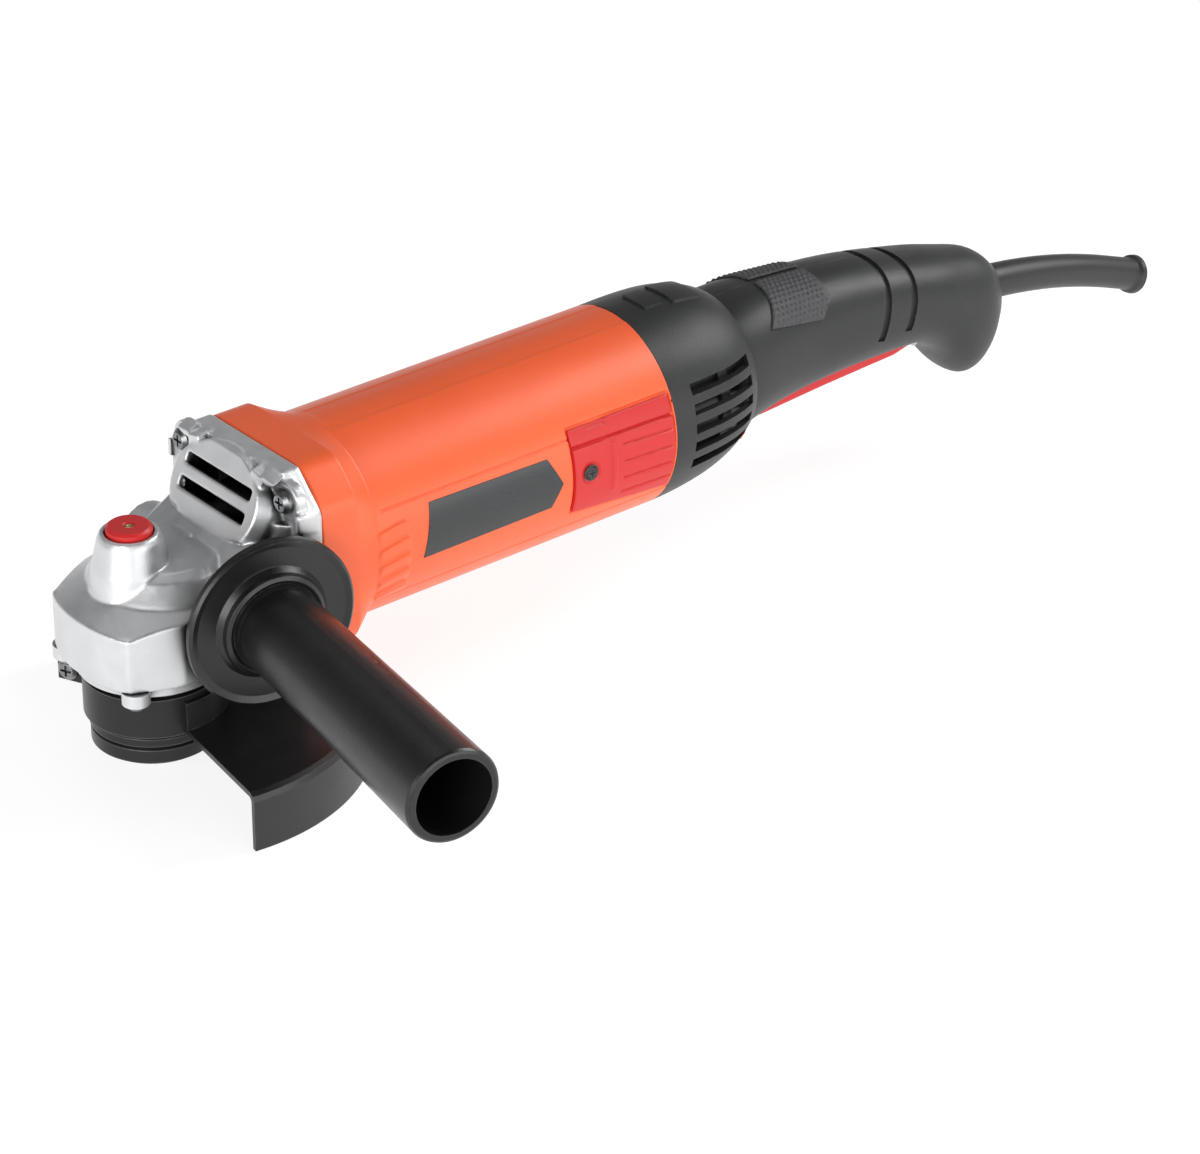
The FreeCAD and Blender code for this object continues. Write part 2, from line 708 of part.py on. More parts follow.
def stator_core():
    """A ring with two pole faces, flat at top and bottom where the field coils sit."""
    ring = tube("stator_ring", "X", "27", "stator_outer", "core_front", "core_back",
                ("0", "0", "axis_height"))
    poles = []
    for i, sign in enumerate((-1, 1)):
        solid = tube(f"pole_ring{i}", "X", "stator_inner", "28", "core_front", "core_back",
                     ("0", "0", "axis_height"))
        low, high = ("0", "40") if sign > 0 else ("-40", "0")
        keep = block(f"pole_keep{i}", ("core_front", low, "axis_height - 15"),
                     ("core_back", high, "axis_height + 15"))
        poles.append(common(f"pole{i}", solid, keep))
    return piece(fuse("stator_core", ring, *poles), "stator_core")


def field_coils():
    """Two saddles of wire above and below the armature, with rounded ends past the core."""
    saddles = []
    for i, sign in enumerate((-1, 1)):
        ring = tube(f"coil_ring{i}", "X", "22.6", "26.8", "core_front - 9", "core_back + 9",
                    ("0", "0", "axis_height"))
        low = ("core_front - 10", "-30", "axis_height + 15.4" if sign > 0 else "axis_height - 30")
        high = ("core_back + 10", "30", "axis_height + 30" if sign > 0 else "axis_height - 15.4")
        saddles.append(common(f"coil_saddle{i}", ring, block(f"coil_keep{i}", low, high)))
    return piece(fuse("field_coils", *saddles), "field_coils")


def air_baffle():
    profile = [(63.5, 24.5), (66, 22), (67, 22), (67, 31.4), (61.6, 31.4), (61.6, 30.2), (63.5, 30.2)]
    return piece(on_motor_axis("air_baffle", profile), "air_baffle")


def brush_carrier():
    """The moulded ring that holds both brush holders in line with the commutator."""
    ring = tube("carrier_ring", "X", "25", "31.4", "brush_at - 8", "brush_at + 8",
                ("0", "0", "axis_height"))
    window = block("carrier_window", ("brush_at - 5.1", "-40", "axis_height - 5.1"),
                   ("brush_at + 5.1", "40", "axis_height + 5.1"))
    return piece(cut("brush_carrier", ring, window), "brush_carrier")


def on_brush_sides(name, thing_of):
    """Two opposite solids, one on each side of the commutator."""
    return piece(fuse(name, *[thing_of(sign, f"{name}{i}") for i, sign in enumerate((-1, 1))]), name)


def brush_block(label, sign, half_x, half_z, near, far):
    low_y, high_y = (f"-({far})", f"-({near})") if sign < 0 else (near, far)
    return block(label, (f"brush_at - {half_x}", low_y, f"axis_height - {half_z}"),
                 (f"brush_at + {half_x}", high_y, f"axis_height + {half_z}"))


def brush_holder(sign, label):
    outer = brush_block(label + "_case", sign, 5, 5, "commutator_radius + 2", "30.5")
    inner = brush_block(label + "_room", sign, 3.8, 3.8, "commutator_radius", "29.8")
    return cut(label, outer, inner)


def carbon_brush(sign, label):
    """A carbon block whose inner end is worn to the commutator's curve."""
    carbon = brush_block(label + "_block", sign, 3.6, 3.6, "commutator_radius - 1",
                         "commutator_radius + 11")
    face = rod(label + "_face", "X", "commutator_radius + 0.1", "40", ("brush_at - 20", "0", "axis_height"))
    return cut(label, carbon, face)


def brush_springs():
    springs = []
    for sign in (-1, 1):
        start, end = 23.2, 29.6
        springs.append(coil((size("brush_at"), 0, AXIS), Y * sign, 2.4, 0.35, start, end, 5))
    return shaped("brush_springs", Part.makeCompound(springs))


# ---------------------------------------------------------------------------
# Motor housing, covers and plates on its two sides
# ---------------------------------------------------------------------------
def side_prism(outline_points):
    """An outline in the X-Z plane pushed out to the near side."""
    return prism([(x, -45, z) for x, z in outline_points], Y * 43)


COVER_OUTLINE = [(145, 46.4), (187.6, 41.6), (187.6, 75.6), (145, 75.6)]
PLATE_OUTLINE = [(83, 51.5), (86.4, 70.3), (134.8, 69.6), (140.3, 59.4), (135.6, 51.8)]


def shell_ring(inner, outer, start, end):
    return cylinder(X, outer, (start, 0, AXIS),
                    end - start).cut(cylinder(X, inner, (start, 0, AXIS), end - start))


def motor_housing():
    radius, rear = size("barrel_radius"), size("barrel_back")
    front, step, back = size("collar_front"), size("collar_step"), size("collar_back")
    inner = radius - size("barrel_wall")
    collar = collar_prism(front, back).common(cone_stack((0, 0, AXIS),
                                                         [(front, 60), (step, 45.5), (back, radius)], X))
    body = collar.fuse(cylinder(X, radius, (front, 0, AXIS), rear - front))
    body = body.cut(cylinder(X, inner, (front - 1, 0, AXIS), rear))
    web = cone_stack((0, 0, AXIS), [(183, inner + 0.5), (185.2, inner + 0.5)], X)
    web = web.fuse(cone_stack((0, 0, AXIS), [(176, 12), (185.2, 12)], X))
    web = web.cut(cylinder(X, 9.55, (170, 0, AXIS), 13.2)).cut(cylinder(X, 5.5, (170, 0, AXIS), 30))
    for i in range(6):
        spot = FreeCAD.Rotation(X, 60 * i + 30).multVec(Z * 21)
        web = web.cut(cylinder(X, 7, (170, spot.y, AXIS + spot.z), 30))
    body = body.fuse(web)
    for screw in corner_screws(2.05, 40, 60):
        body = body.cut(screw)
    near = [side_prism(COVER_OUTLINE).common(shell_ring(radius - 5, radius + 3, 140, 190))]
    near.append(side_prism(PLATE_OUTLINE).common(shell_ring(radius - 0.8, radius + 3, 80, 145)))
    for pocket in near:
        body = body.cut(pocket).cut(mirrored(pocket))
    return shaped("motor_housing", body)


def inset(points, gap):
    """An outline drawn in towards its middle by a small gap."""
    middle_x = sum(x for x, z in points) / len(points)
    middle_z = sum(z for x, z in points) / len(points)
    return [(x - math.copysign(gap, x - middle_x), z - math.copysign(gap, z - middle_z)) for x, z in points]


def side_pair(name, outline_points, inner, outer, start, end, hole=None):
    """One curved cover for the near side, and its twin for the far side."""
    cover = side_prism(inset(outline_points, 0.12)).common(shell_ring(inner, outer, start, end))
    if hole:
        cover = cover.cut(hole)
    shaped(name + "_right", cover)
    shaped(name + "_left", mirrored(cover))


COVER_SCREW = (151.5, 59.8)


def brush_covers():
    radius = size("barrel_radius")
    x, z = COVER_SCREW
    hole = cylinder(Y, 1.75, (x, -50, z), 48).fuse(box((153, -40, 74.4), (160, -20, 78)))
    side_pair("brush_cover", COVER_OUTLINE, radius - 2.6, radius + 0.3, 140, 190, hole)
    screws = [cross_screw(Y, (x, -radius - 0.3, z), 1.6, 3.2, 2.8, 0.9)]
    screws.append(mirrored(screws[0]))
    shaped("brush_cover_screws", Part.makeCompound(screws))


def label_plates():
    radius = size("barrel_radius")
    side_pair("label_plate", PLATE_OUTLINE, radius - 0.75, radius + 0.25, 80, 145)


# ---------------------------------------------------------------------------
# Rear bell
# ---------------------------------------------------------------------------
LOUVRES = (46.4, 53.4, 60.2, 67, 73.6)


# Each station: x, outer radius, wall, rise of the centre above the motor axis
BELL_STATIONS = [
    (189.1, 35, 2.8, 0),
    (197, 34.9, 2.6, 0.3),
    (207, 34.3, 2.5, 0.9),
    (216, 33, 2.4, 1.5),
    (223, 31, 2.2, 1.9),
    (228, 28.8, 2, 2.1),
    (231, 27, 1.2, 2.1),
]
# The hollow runs a little past both ends of the bell, so that both ends come out open.
BELL_OVERRUN = {BELL_STATIONS[0][0]: -0.2, BELL_STATIONS[-1][0]: 0.2}


def bell_solid(inner):
    """The bell's outer form, or its hollow, as one loft of circles."""
    rings = []
    for x, radius, wall, rise in BELL_STATIONS:
        if inner:
            radius -= wall
            x += BELL_OVERRUN.get(x, 0)
        rings.append(Part.Wire(Part.makeCircle(radius, V(x, 0, AXIS + rise), X)))
    return Part.makeLoft(rings, True, False)


def rear_bell():
    """The louvred end cap, with a spigot that fits inside the motor housing."""
    shell = bell_solid(False).fuse(shell_ring(30.2, 32.2, 185.6, 190.5)).cut(bell_solid(True))
    for z in LOUVRES:
        slot = box((197.5, -40, z - 1.9), (227, 40, z + 1.9)).cut(box((190, -14, 20), (240, 14, 100)))
        shell = shell.cut(slot)
    for low_x, high_x, half in ((199, 206, 6), (210, 222, 7.5)):
        pad = box((low_x, -half, 80), (high_x, half, 100)).common(bell_solid(False).scaled(1.02,
                                                                                           V(200, 0, AXIS)))
        shell = shell.fuse(pad.cut(bell_solid(False)))
    return shaped("rear_bell", shell.removeSplitter())


# ---------------------------------------------------------------------------
# Rear handle: two half shells on one run of rounded sections
# ---------------------------------------------------------------------------
# Each station: x, half width, top z, bottom z
HANDLE_STATIONS = [
    (220, 24.2, 83.2, 35.5),
    (232, 24.2, 84.3, 37),
    (246, 22.6, 85.2, 40),
    (264, 20.4, 84.2, 42),
    (286, 19.3, 82.2, 43),
    (307, 18.7, 78.8, 43),
    (321, 18.4, 75.8, 41.5),
    (331, 18.4, 73.6, 36),
    (338, 18.3, 71.8, 27.5),
    (344.5, 17.8, 70, 22.5),
    (350.5, 16.6, 68.2, 23.5),
    (355.5, 14.6, 65.8, 28),
    (359.5, 11.8, 62, 34.5),
]
NECK_FLANGE = (215, 218.5, 28)
SEAM_GAP = 0.03


def handle_section(x, half_width, top, bottom, inset_by):
    """One closed, slightly squared oval at a station."""
    wide, tall = half_width - inset_by, (top - bottom) / 2 - inset_by
    middle, power = (top + bottom) / 2, 2 / 2.35
    points = []
    for i in range(16):
        angle = math.radians(22.5 * i)
        c, s_ = math.cos(angle), math.sin(angle)
        points.append(V(x, wide * math.copysign(abs(c) ** power, c),
                        middle + tall * math.copysign(abs(s_) ** power, s_)))
    curve = Part.BSplineCurve()
    curve.interpolate(Points=points, PeriodicFlag=True)
    return Part.Wire(curve.toShape())


def handle_solid(inset_by, first=0, last=0):
    stations = [list(s) for s in HANDLE_STATIONS]
    stations[0][0] -= first
    stations[-1][0] -= last
    return Part.makeLoft([handle_section(*s, inset_by) for s in stations], True, False)


def handle_grooves(outer):
    """Two shallow slanting grooves behind the grip."""
    skin = outer.cut(handle_solid(1.1))
    grooves = []
    for x in (299, 312):
        slab = box((x - 1.7, -30, 55), (x + 1.7, 30, 100))
        slab.rotate(V(x, 0, 70), Y, 14)
        grooves.append(slab.common(skin))
    return grooves


HANDLE_SCREWS = [(242, 76), (306, 66), (334, 62), (344, 34)]


def handle_halves():
    outer = handle_solid(0)
    hollow = handle_solid(size("shell_wall"), 1, 2.6)
    neck = cylinder(X, NECK_FLANGE[2], (NECK_FLANGE[0], 0, AXIS), NECK_FLANGE[1] - NECK_FLANGE[0])
    sleeve = cylinder(X, 23, (NECK_FLANGE[0], 0, AXIS), 8)
    shell = outer.fuse(neck).fuse(sleeve).cut(hollow).cut(cylinder(X, 20.6, (210, 0, AXIS), 11))
    pivot_x, pivot_z = size("lever_pivot_x"), size("lever_pivot_z")
    bosses = [cylinder(Y, 4.6, (pivot_x, -30, pivot_z), 60).cut(box((300, -8.8, 30), (330, 8.8, 70)))]
    bosses += [cylinder(Y, 4, (x, -30, z), 60) for x, z in HANDLE_SCREWS]
    for boss in bosses:
        shell = shell.fuse(boss.common(outer))
    for groove in handle_grooves(outer):
        shell = shell.cut(groove)
    wide = size("lever_half_width") + 0.6
    shell = shell.cut(box((234.4, -wide, 25), (324.5, wide, 52)))
    shell = shell.cut(cylinder(Y, 2.05, (pivot_x, -13.5, pivot_z), 27))
    shell = shell.cut(cylinder(X, 7, (352, 0, 51), 20))
    for x, z in HANDLE_SCREWS:
        shell = shell.cut(cylinder(Y, 1.55, (x, -12, z), 30))
        shell = shell.cut(cylinder(Y, 3.3, (x, 11.25, z), 30))
    right = shell.common(box((200, -60, 0), (400, -SEAM_GAP, 120)))
    left = shell.common(box((200, SEAM_GAP, 0), (400, 60, 120)))
    shaped("handle_half_right", right)
    shaped("handle_half_left", left)
    screws = [cross_screw(-Y, (x, 11.3, z), 1.5, 22, 3, 2) for x, z in HANDLE_SCREWS]
    shaped("handle_screws", Part.makeCompound(screws))
    pad = [(243.5, 77), (267.5, 73), (274.5, 79), (272, 92), (257, 92)]
    skin = handle_solid(-0.7).cut(handle_solid(-0.03))
    near = prism([(x, -40, z) for x, z in pad], Y * 38.6).common(skin)
    shaped("grip_pad_right", near)
    shaped("grip_pad_left", mirrored(near))


BOOT_POINTS = [(353, 51.6), (396, 45), (423.4, 36.5)]
BOOT_END = (438.2, 30.9)


def cord_boot():
    """The flexible sleeve that the cord leaves by: a drooping taper with a flared lip."""
    start, middle, turn = [V(x, 0, z) for x, z in BOOT_POINTS]
    end = V(BOOT_END[0], 0, BOOT_END[1])
    arc = Part.Arc(start, middle, turn)
    head_way, tail_way = [V(*arc.tangent(at)[0]) for at in (arc.FirstParameter, arc.LastParameter)]
    tail = (end - turn).Length

    def ring(share, radius):
        at = arc.FirstParameter + (arc.LastParameter - arc.FirstParameter) * share
        return Part.Wire(Part.makeCircle(radius, arc.value(at), V(*arc.tangent(at)[0])))

    sleeve = Part.makeLoft([ring(i / 6, 6.4 - 0.5 * i / 6) for i in range(7)], True, False)
    lip = cone_stack(tuple(turn), [(0, 5.9), (tail - 3.4, 5.9), (tail - 2.2, 7), (tail - 0.5, 7.2),
                                   (tail, 6.7)], tail_way)
    flange = cylinder(head_way, 7.9, tuple(start), 2.6)
    body = sleeve.fuse(lip).fuse(flange).removeSplitter()
    path = Part.Wire([Part.LineSegment(start - head_way * 4, start).toShape(), arc.toShape(),
                      Part.LineSegment(turn, turn + tail_way * (tail + 4)).toShape()])
    mouth = Part.Wire(Part.makeCircle(size("cord_bore_radius"), start - head_way * 4, head_way))
    return shaped("cord_boot", body.cut(path.makePipeShell([mouth], True, False)))


def cord_clamp():
    """The saddle and strap that grip the cord inside the handle."""
    groove = rod("clamp_groove", "X", "cord_bore_radius", "20", ("335", "0", "51.8"))
    strap = block("clamp_strap", ("341.5", "-9.5", "52.2"), ("347.5", "9.5", "57.8"))
    saddle = block("clamp_saddle", ("341.5", "-9.5", "45.2"), ("347.5", "9.5", "51.4"))
    holes = [rod(f"clamp_hole{i}", "Z", "1.55", "30", ("344.5", f"{y}", "40"))
             for i, y in enumerate((-7, 7))]
    return piece(cut("cord_clamp", fuse("clamp_pair", strap, saddle), groove, *holes), "cord_clamp")


def cord_clamp_screws():
    screws = [cross_screw(-Z, (344.5, y, 57.8), 1.5, 12, 2.4, 1.6) for y in (-7, 7)]
    return shaped("cord_clamp_screws", Part.makeCompound(screws))


# ---------------------------------------------------------------------------
# Switch, capacitor, lever and lock-off
# ---------------------------------------------------------------------------
def switch():
    """The switch body, open below for its plunger."""
    case = block("switch_case", ("262", "-8.5", "56.5"), ("298", "8.5", "73"))
    room = block("switch_room", ("275", "-3.2", "50"), ("281.4", "3.2", "64"))
    terminals = [block(f"switch_terminal{i}", (f"{x}", "-3", "73"), (f"{x + 1}", "3", "77")) for i, x in
                 enumerate((267, 292))]
    return piece(cut("switch", fuse("switch_body", case, *terminals), room), "switch")


def switch_plunger():
    return piece(block("switch_plunger", ("275.2", "-3", "50.2"), ("281.2", "3", "60")), "switch_plunger")


def suppression_capacitor():
    return piece(block("suppression_capacitor", ("226", "-8", "62"), ("237", "8", "78")),
                 "suppression_capacitor")


# The cross pin of the lock-off tab, x and z.
LOCK_PIN = (243.6, 43)


def paddle_lever():
    """A long channel under the handle: bottom skin, two side walls and a pivot eye at its rear."""
    pivot_x, pivot_z = size("lever_pivot_x"), size("lever_pivot_z")
    front, half = size("lever_front"), size("lever_half_width")
    side = [(front - 6, 45), (front - 6, 41), (front - 1.5, 38.2), (front + 3, 37.4), (front + 32, 39.2),
            (pivot_x - 4, 40.6), (pivot_x + 4.4, 42.6), (pivot_x + 4.4, 49), (pivot_x - 4, 50.5), (285, 50),
            (270, 50), (front + 8, 49)]
    body = prism([(x, -half, z) for x, z in side], Y * 2 * half)
    body = rounded(body, 1.6, lambda e, m: abs(abs(m.y) - half) < 0.01 and m.z < 42.5 and m.x > front)
    room = [(front - 7, 60), (front - 7, 30), (front, 30), (front, 40), (front + 32, 42),
            (pivot_x - 4, 43.4),
            (pivot_x - 4, 60)]
    body = body.cut(prism([(x, 2.2 - half, z) for x, z in room], Y * 2 * (half - 2.2)))
    rib = box((274, -3.4, 40.6), (282.4, 3.4, 50.1))
    body = body.fuse(rib.common(prism([(x, -half, z) for x, z in side], Y * 2 * half)))
    body = body.cut(cylinder(Y, 2.08, (pivot_x, -20, pivot_z), 40))
    body = body.cut(cylinder(Y, 1.3, (LOCK_PIN[0], -20, LOCK_PIN[1]), 40))
    return shaped("paddle_lever", body)


def lock_off_lever():
    """The small tab in front of the paddle that has to be tipped before the paddle moves."""
    x, z = LOCK_PIN
    side = [(x - 2.6, z + 2.2), (x + 2, z + 2.6), (x + 2.4, z - 5), (x + 1.6, z - 11.5),
            (x - 0.6, z - 13.6),
            (x - 3.2, z - 12.6), (x - 3.6, z - 5)]
    half = size("lever_half_width") - 2.5
    body = prism([(px, -half, pz) for px, pz in side], Y * 2 * half)
    body = rounded(body, 0.8, lambda e, m: m.z < z - 4)
    return shaped("lock_off_lever", body.cut(cylinder(Y, 1.28, (x, -20, z), 40)))


def lock_off_pin():
    return piece(rod("lock_off_pin", "Y", "1.24", "2 * lever_half_width - 0.6",
                     (f"{LOCK_PIN[0]}", "0.3 - lever_half_width", f"{LOCK_PIN[1]}")), "lock_off_pin")


def paddle_pivot_pin():
    return piece(rod("paddle_pivot_pin", "Y", "2", "26.6", ("lever_pivot_x", "-13.3", "lever_pivot_z")),
                 "paddle_pivot_pin")


# ---------------------------------------------------------------------------
# Side handle
# ---------------------------------------------------------------------------
def side_handle():
    end = size("handle_length")
    steps = [(BOSS_FACE + 0.05, 12.2), (-3.4, 13), (-3.4, size("handle_flange_radius") - 0.8),
             (-2.6, size("handle_flange_radius")), (-0.8, size("handle_flange_radius")),
             (0, size("handle_flange_radius") - 0.9), (-0.9, size("handle_flange_radius") - 3),
             (-1.1, 19.5),
             (0.6, 18), (2.2, 17.4), (2.8, 16.2), (2, 14.8), (4.5, 14.3), (30, 14.7), (end - 30, 15.5),
             (end - 1.4, size("handle_end_radius")), (end - 0.4, size("handle_end_radius") - 0.5),
             (end, size("handle_end_radius") - 1.3)]
    grip = cone_stack(tuple(HANDLE_ROOT), steps, HANDLE_WAY)
    bore = cone_stack(tuple(HANDLE_ROOT), [(32, 9.5), (end - 18, 12),
                                           (end + 1, size("handle_bore_radius"))], HANDLE_WAY)
    grip = grip.cut(bore)
    return shaped("side_handle_grip", grip.cut(along_handle(size("stud_radius") + 0.02, BOSS_FACE - 1, 18)))


def side_handle_stud():
    """The steel bolt cast into the grip, threaded into the gear case."""
    stud = along_handle(size("stud_radius"), STUD_END, 17.8)
    return shaped("side_handle_stud", stud)


# ---------------------------------------------------------------------------
# Guard
# ---------------------------------------------------------------------------
def guard_shroud():
    """Half-round sheet: a short neck, the flat web and the outer skirt."""
    sheet_top, web = "guard_top", "guard_top - guard_sheet"
    neck, outer = "neck_radius + 0.3 + band_wall + 0.02", "guard_radius"
    profile = [("band_top - 2", neck), ("band_top - 2", neck + " + 1.6"), (sheet_top, neck + " + 1.6"),
               (sheet_top, outer + " - 2.6"), (sheet_top + " - 0.8", outer + " - 0.8"),
               (sheet_top + " - 2.6", outer),
               ("guard_bottom", outer), ("guard_bottom", outer + " - guard_sheet"),
               (web + " - 1", outer + " - guard_sheet"), (web, outer + " - guard_sheet - 1"), (web, neck)]
    body = turned("guard_shroud", "Z", profile, angle="guard_sweep")
    body.Placement = FreeCAD.Placement(V(), FreeCAD.Rotation(Z, size("guard_start")))
    return piece(body, "guard_shroud")


LUG_TURN = FreeCAD.Rotation(Z, 24)


def guard_band():
    """The clamping ring round the neck, split, with two lugs for its screw."""
    inner, outer = "neck_radius + 0.3", "neck_radius + 0.3 + band_wall"
    ring = tube("band_ring", "Z", inner, outer, "band_bottom", "band_top")
    lugs = block("band_lugs", ("-5.3", "neck_radius + 1.2", "17"), ("5.3", "neck_radius + 12", "band_top"))
    split = block("band_split", ("-1.5", "10", "10"), ("1.5", "40", "40"))
    hole = rod("band_hole", "X", "2.1", "20", ("-10", "neck_radius + 7.5", "21.8"))
    band = cut("guard_band", fuse("band_body", ring, lugs), split, hole)
    band.Placement = FreeCAD.Placement(V(), LUG_TURN)
    return piece(band, "guard_band")


def guard_clamp_screw():
    spot = (-5.3, size("neck_radius") + 7.5, 21.8)
    screw = cross_screw(X, spot, 2, 13.6, 3.6, 2.6)
    nut = cylinder(X, 3.6, (5.35, spot[1], spot[2]), 3).cut(cylinder(X, 2.03, (5, spot[1], spot[2]), 4))
    both = Part.makeCompound([screw, nut])
    both.rotate(V(), Z, math.degrees(LUG_TURN.Angle))
    return shaped("guard_clamp_screw", both)


# ---------------------------------------------------------------------------
# Everything, in the order in which it goes together
# ---------------------------------------------------------------------------
gear_case()
gear_case_screws()
bearing_cover()
bearing_cover_screws()
bearing_plate()
ball_bearing("spindle_bearing", Z, 7.52, 17.45, 19.05, 10.8, 9)
piece(tube("spindle_bush", "Z", "3.24", "4.97", "58", "67.4"), "spindle_bush")
spindle()
bevel_gear()
gear_clip()
inner_flange()
lock_nut()
lock_button()
lock_pin()
shaped("lock_spring", coil((-size("pin_offset"), 0, 0), Z, 2.4, 0.3, 69.6, 77.5, 5))
armature_shaft()
pinion()
pinion_nut()
armature_core()
armature_windings()
commutator()
fan()
ball_bearing("front_motor_bearing", X, 5.02, 13, 29.5, 8, 8)
ball_bearing("rear_motor_bearing", X, 4.02, 9.5, 176.4, 6.4, 7)
stator_core()
field_coils()
air_baffle()
brush_carrier()
on_brush_sides("brush_holders", brush_holder)
on_brush_sides("carbon_brushes", carbon_brush)
brush_springs()
motor_housing()
brush_covers()
label_plates()
rear_bell()
handle_halves()
cord_boot()
cord_clamp()
cord_clamp_screws()
switch()
switch_plunger()
suppression_capacitor()
paddle_lever()
paddle_pivot_pin()
shaped("paddle_spring", coil((262, 0, 0), Z, 3, 0.4, 42.2, 56.3, 7))
lock_off_lever()
lock_off_pin()
side_handle()
side_handle_stud()
guard_shroud()
guard_band()
guard_clamp_screw()

doc.recompute()
failed = [thing.Name for thing in doc.Objects if {"Invalid", "Error"} & set(thing.State)]
failed += [thing.Label for thing in PIECES if thing.Shape.isNull() or not thing.Shape.isValid()]
if failed:
    raise SystemExit("these did not build: " + ", ".join(failed))
os.makedirs("parts", exist_ok=True)
for thing in PIECES:
    thing.Shape.exportStep(f"parts/{thing.Label}.step")
    print(f"{thing.Label:24s} solids {len(thing.Shape.Solids):3d} volume {thing.Shape.Volume:10.1f}")
print(len(PIECES), "sub-parts")
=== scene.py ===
import json
import math

import bmesh
import bpy
import numpy as np
from mathutils import Matrix, Vector


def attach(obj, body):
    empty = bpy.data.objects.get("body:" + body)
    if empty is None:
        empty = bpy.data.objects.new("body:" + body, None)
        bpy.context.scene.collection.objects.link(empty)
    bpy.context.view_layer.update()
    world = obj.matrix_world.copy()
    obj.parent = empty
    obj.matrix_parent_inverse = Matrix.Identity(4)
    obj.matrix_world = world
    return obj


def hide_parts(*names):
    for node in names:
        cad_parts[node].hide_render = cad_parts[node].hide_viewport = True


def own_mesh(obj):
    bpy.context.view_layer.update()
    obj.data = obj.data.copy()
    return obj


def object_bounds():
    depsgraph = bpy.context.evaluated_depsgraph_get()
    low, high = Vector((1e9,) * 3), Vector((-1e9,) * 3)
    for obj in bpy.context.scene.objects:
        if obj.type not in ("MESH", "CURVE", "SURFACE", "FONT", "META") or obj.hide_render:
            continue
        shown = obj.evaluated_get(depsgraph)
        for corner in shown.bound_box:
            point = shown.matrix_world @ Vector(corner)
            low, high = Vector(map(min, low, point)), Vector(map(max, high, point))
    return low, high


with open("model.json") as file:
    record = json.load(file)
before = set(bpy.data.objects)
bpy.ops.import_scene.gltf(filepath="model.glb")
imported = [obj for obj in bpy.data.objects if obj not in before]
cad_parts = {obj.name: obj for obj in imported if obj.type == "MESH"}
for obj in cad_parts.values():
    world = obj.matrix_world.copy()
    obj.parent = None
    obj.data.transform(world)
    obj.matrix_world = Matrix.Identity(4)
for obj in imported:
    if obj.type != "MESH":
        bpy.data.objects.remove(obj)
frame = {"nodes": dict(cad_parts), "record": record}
cad_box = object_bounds()
nodes = frame["nodes"]
scene = bpy.context.scene
scene.view_settings.view_transform = "Standard"

# ---------------------------------------------------------------------------
# Camera, lights, floor
# ---------------------------------------------------------------------------
MM = 0.001
AXIS_Z = 0.0585
AZIMUTH, ELEVATION = math.radians(39.4522), math.radians(29.2584)
BACK = Vector((-math.sin(AZIMUTH) * math.cos(ELEVATION), -math.cos(AZIMUTH) * math.cos(ELEVATION),
               math.sin(ELEVATION)))
RIGHT = Vector((math.cos(AZIMUTH), -math.sin(AZIMUTH), 0))
UP = BACK.cross(RIGHT)
MIDDLE = Vector((0.17, 0, 0.05))


def make_camera():
    aim = Vector((0, 0, AXIS_Z)) + RIGHT * 0.1424 + UP * 0.0007
    data = bpy.data.cameras.new("camera")
    data.lens, data.sensor_width = 145.74, 36
    camera = bpy.data.objects.new("camera", data)
    scene.collection.objects.link(camera)
    turn = Matrix((RIGHT, UP, BACK)).transposed().to_4x4()
    camera.matrix_world = Matrix.Translation(aim + BACK * 1.5292) @ turn
    scene.camera = camera


def area_light(name, at, size, power, target=MIDDLE):
    """A softbox at one place, turned towards the tool."""
    data = bpy.data.lights.new(name, "AREA")
    data.shape, data.size, data.size_y = "RECTANGLE", size[0], size[1]
    data.energy = power
    light = bpy.data.objects.new(name, data)
    scene.collection.objects.link(light)
    turn = (Vector(at) - Vector(target)).to_track_quat("Z", "Y").to_matrix().to_4x4()
    light.matrix_world = Matrix.Translation(at) @ turn


def make_world():
    """A pale room: bright near the horizon, dimmer overhead."""
    world = bpy.data.worlds.new("studio")
    scene.world = world
    world.use_nodes = True
    tree = world.node_tree
    coords = tree.nodes.new("ShaderNodeTexCoord")
    split = tree.nodes.new("ShaderNodeSeparateXYZ")
    ramp = tree.nodes.new("ShaderNodeValToRGB")
    tree.links.new(coords.outputs["Generated"], split.inputs[0])
    tree.links.new(split.outputs["Z"], ramp.inputs[0])
    ramp.color_ramp.elements[0].position, ramp.color_ramp.elements[0].color = 0.0, (1, 1, 1, 1)
    ramp.color_ramp.elements[1].position, ramp.color_ramp.elements[1].color = 0.85, (0.03, 0.03, 0.032, 1)
    middle = ramp.color_ramp.elements.new(0.4)
    middle.color = (0.45, 0.45, 0.46, 1)
    tree.links.new(ramp.outputs[0], tree.nodes["Background"].inputs["Color"])
    tree.nodes["Background"].inputs["Strength"].default_value = 0.62


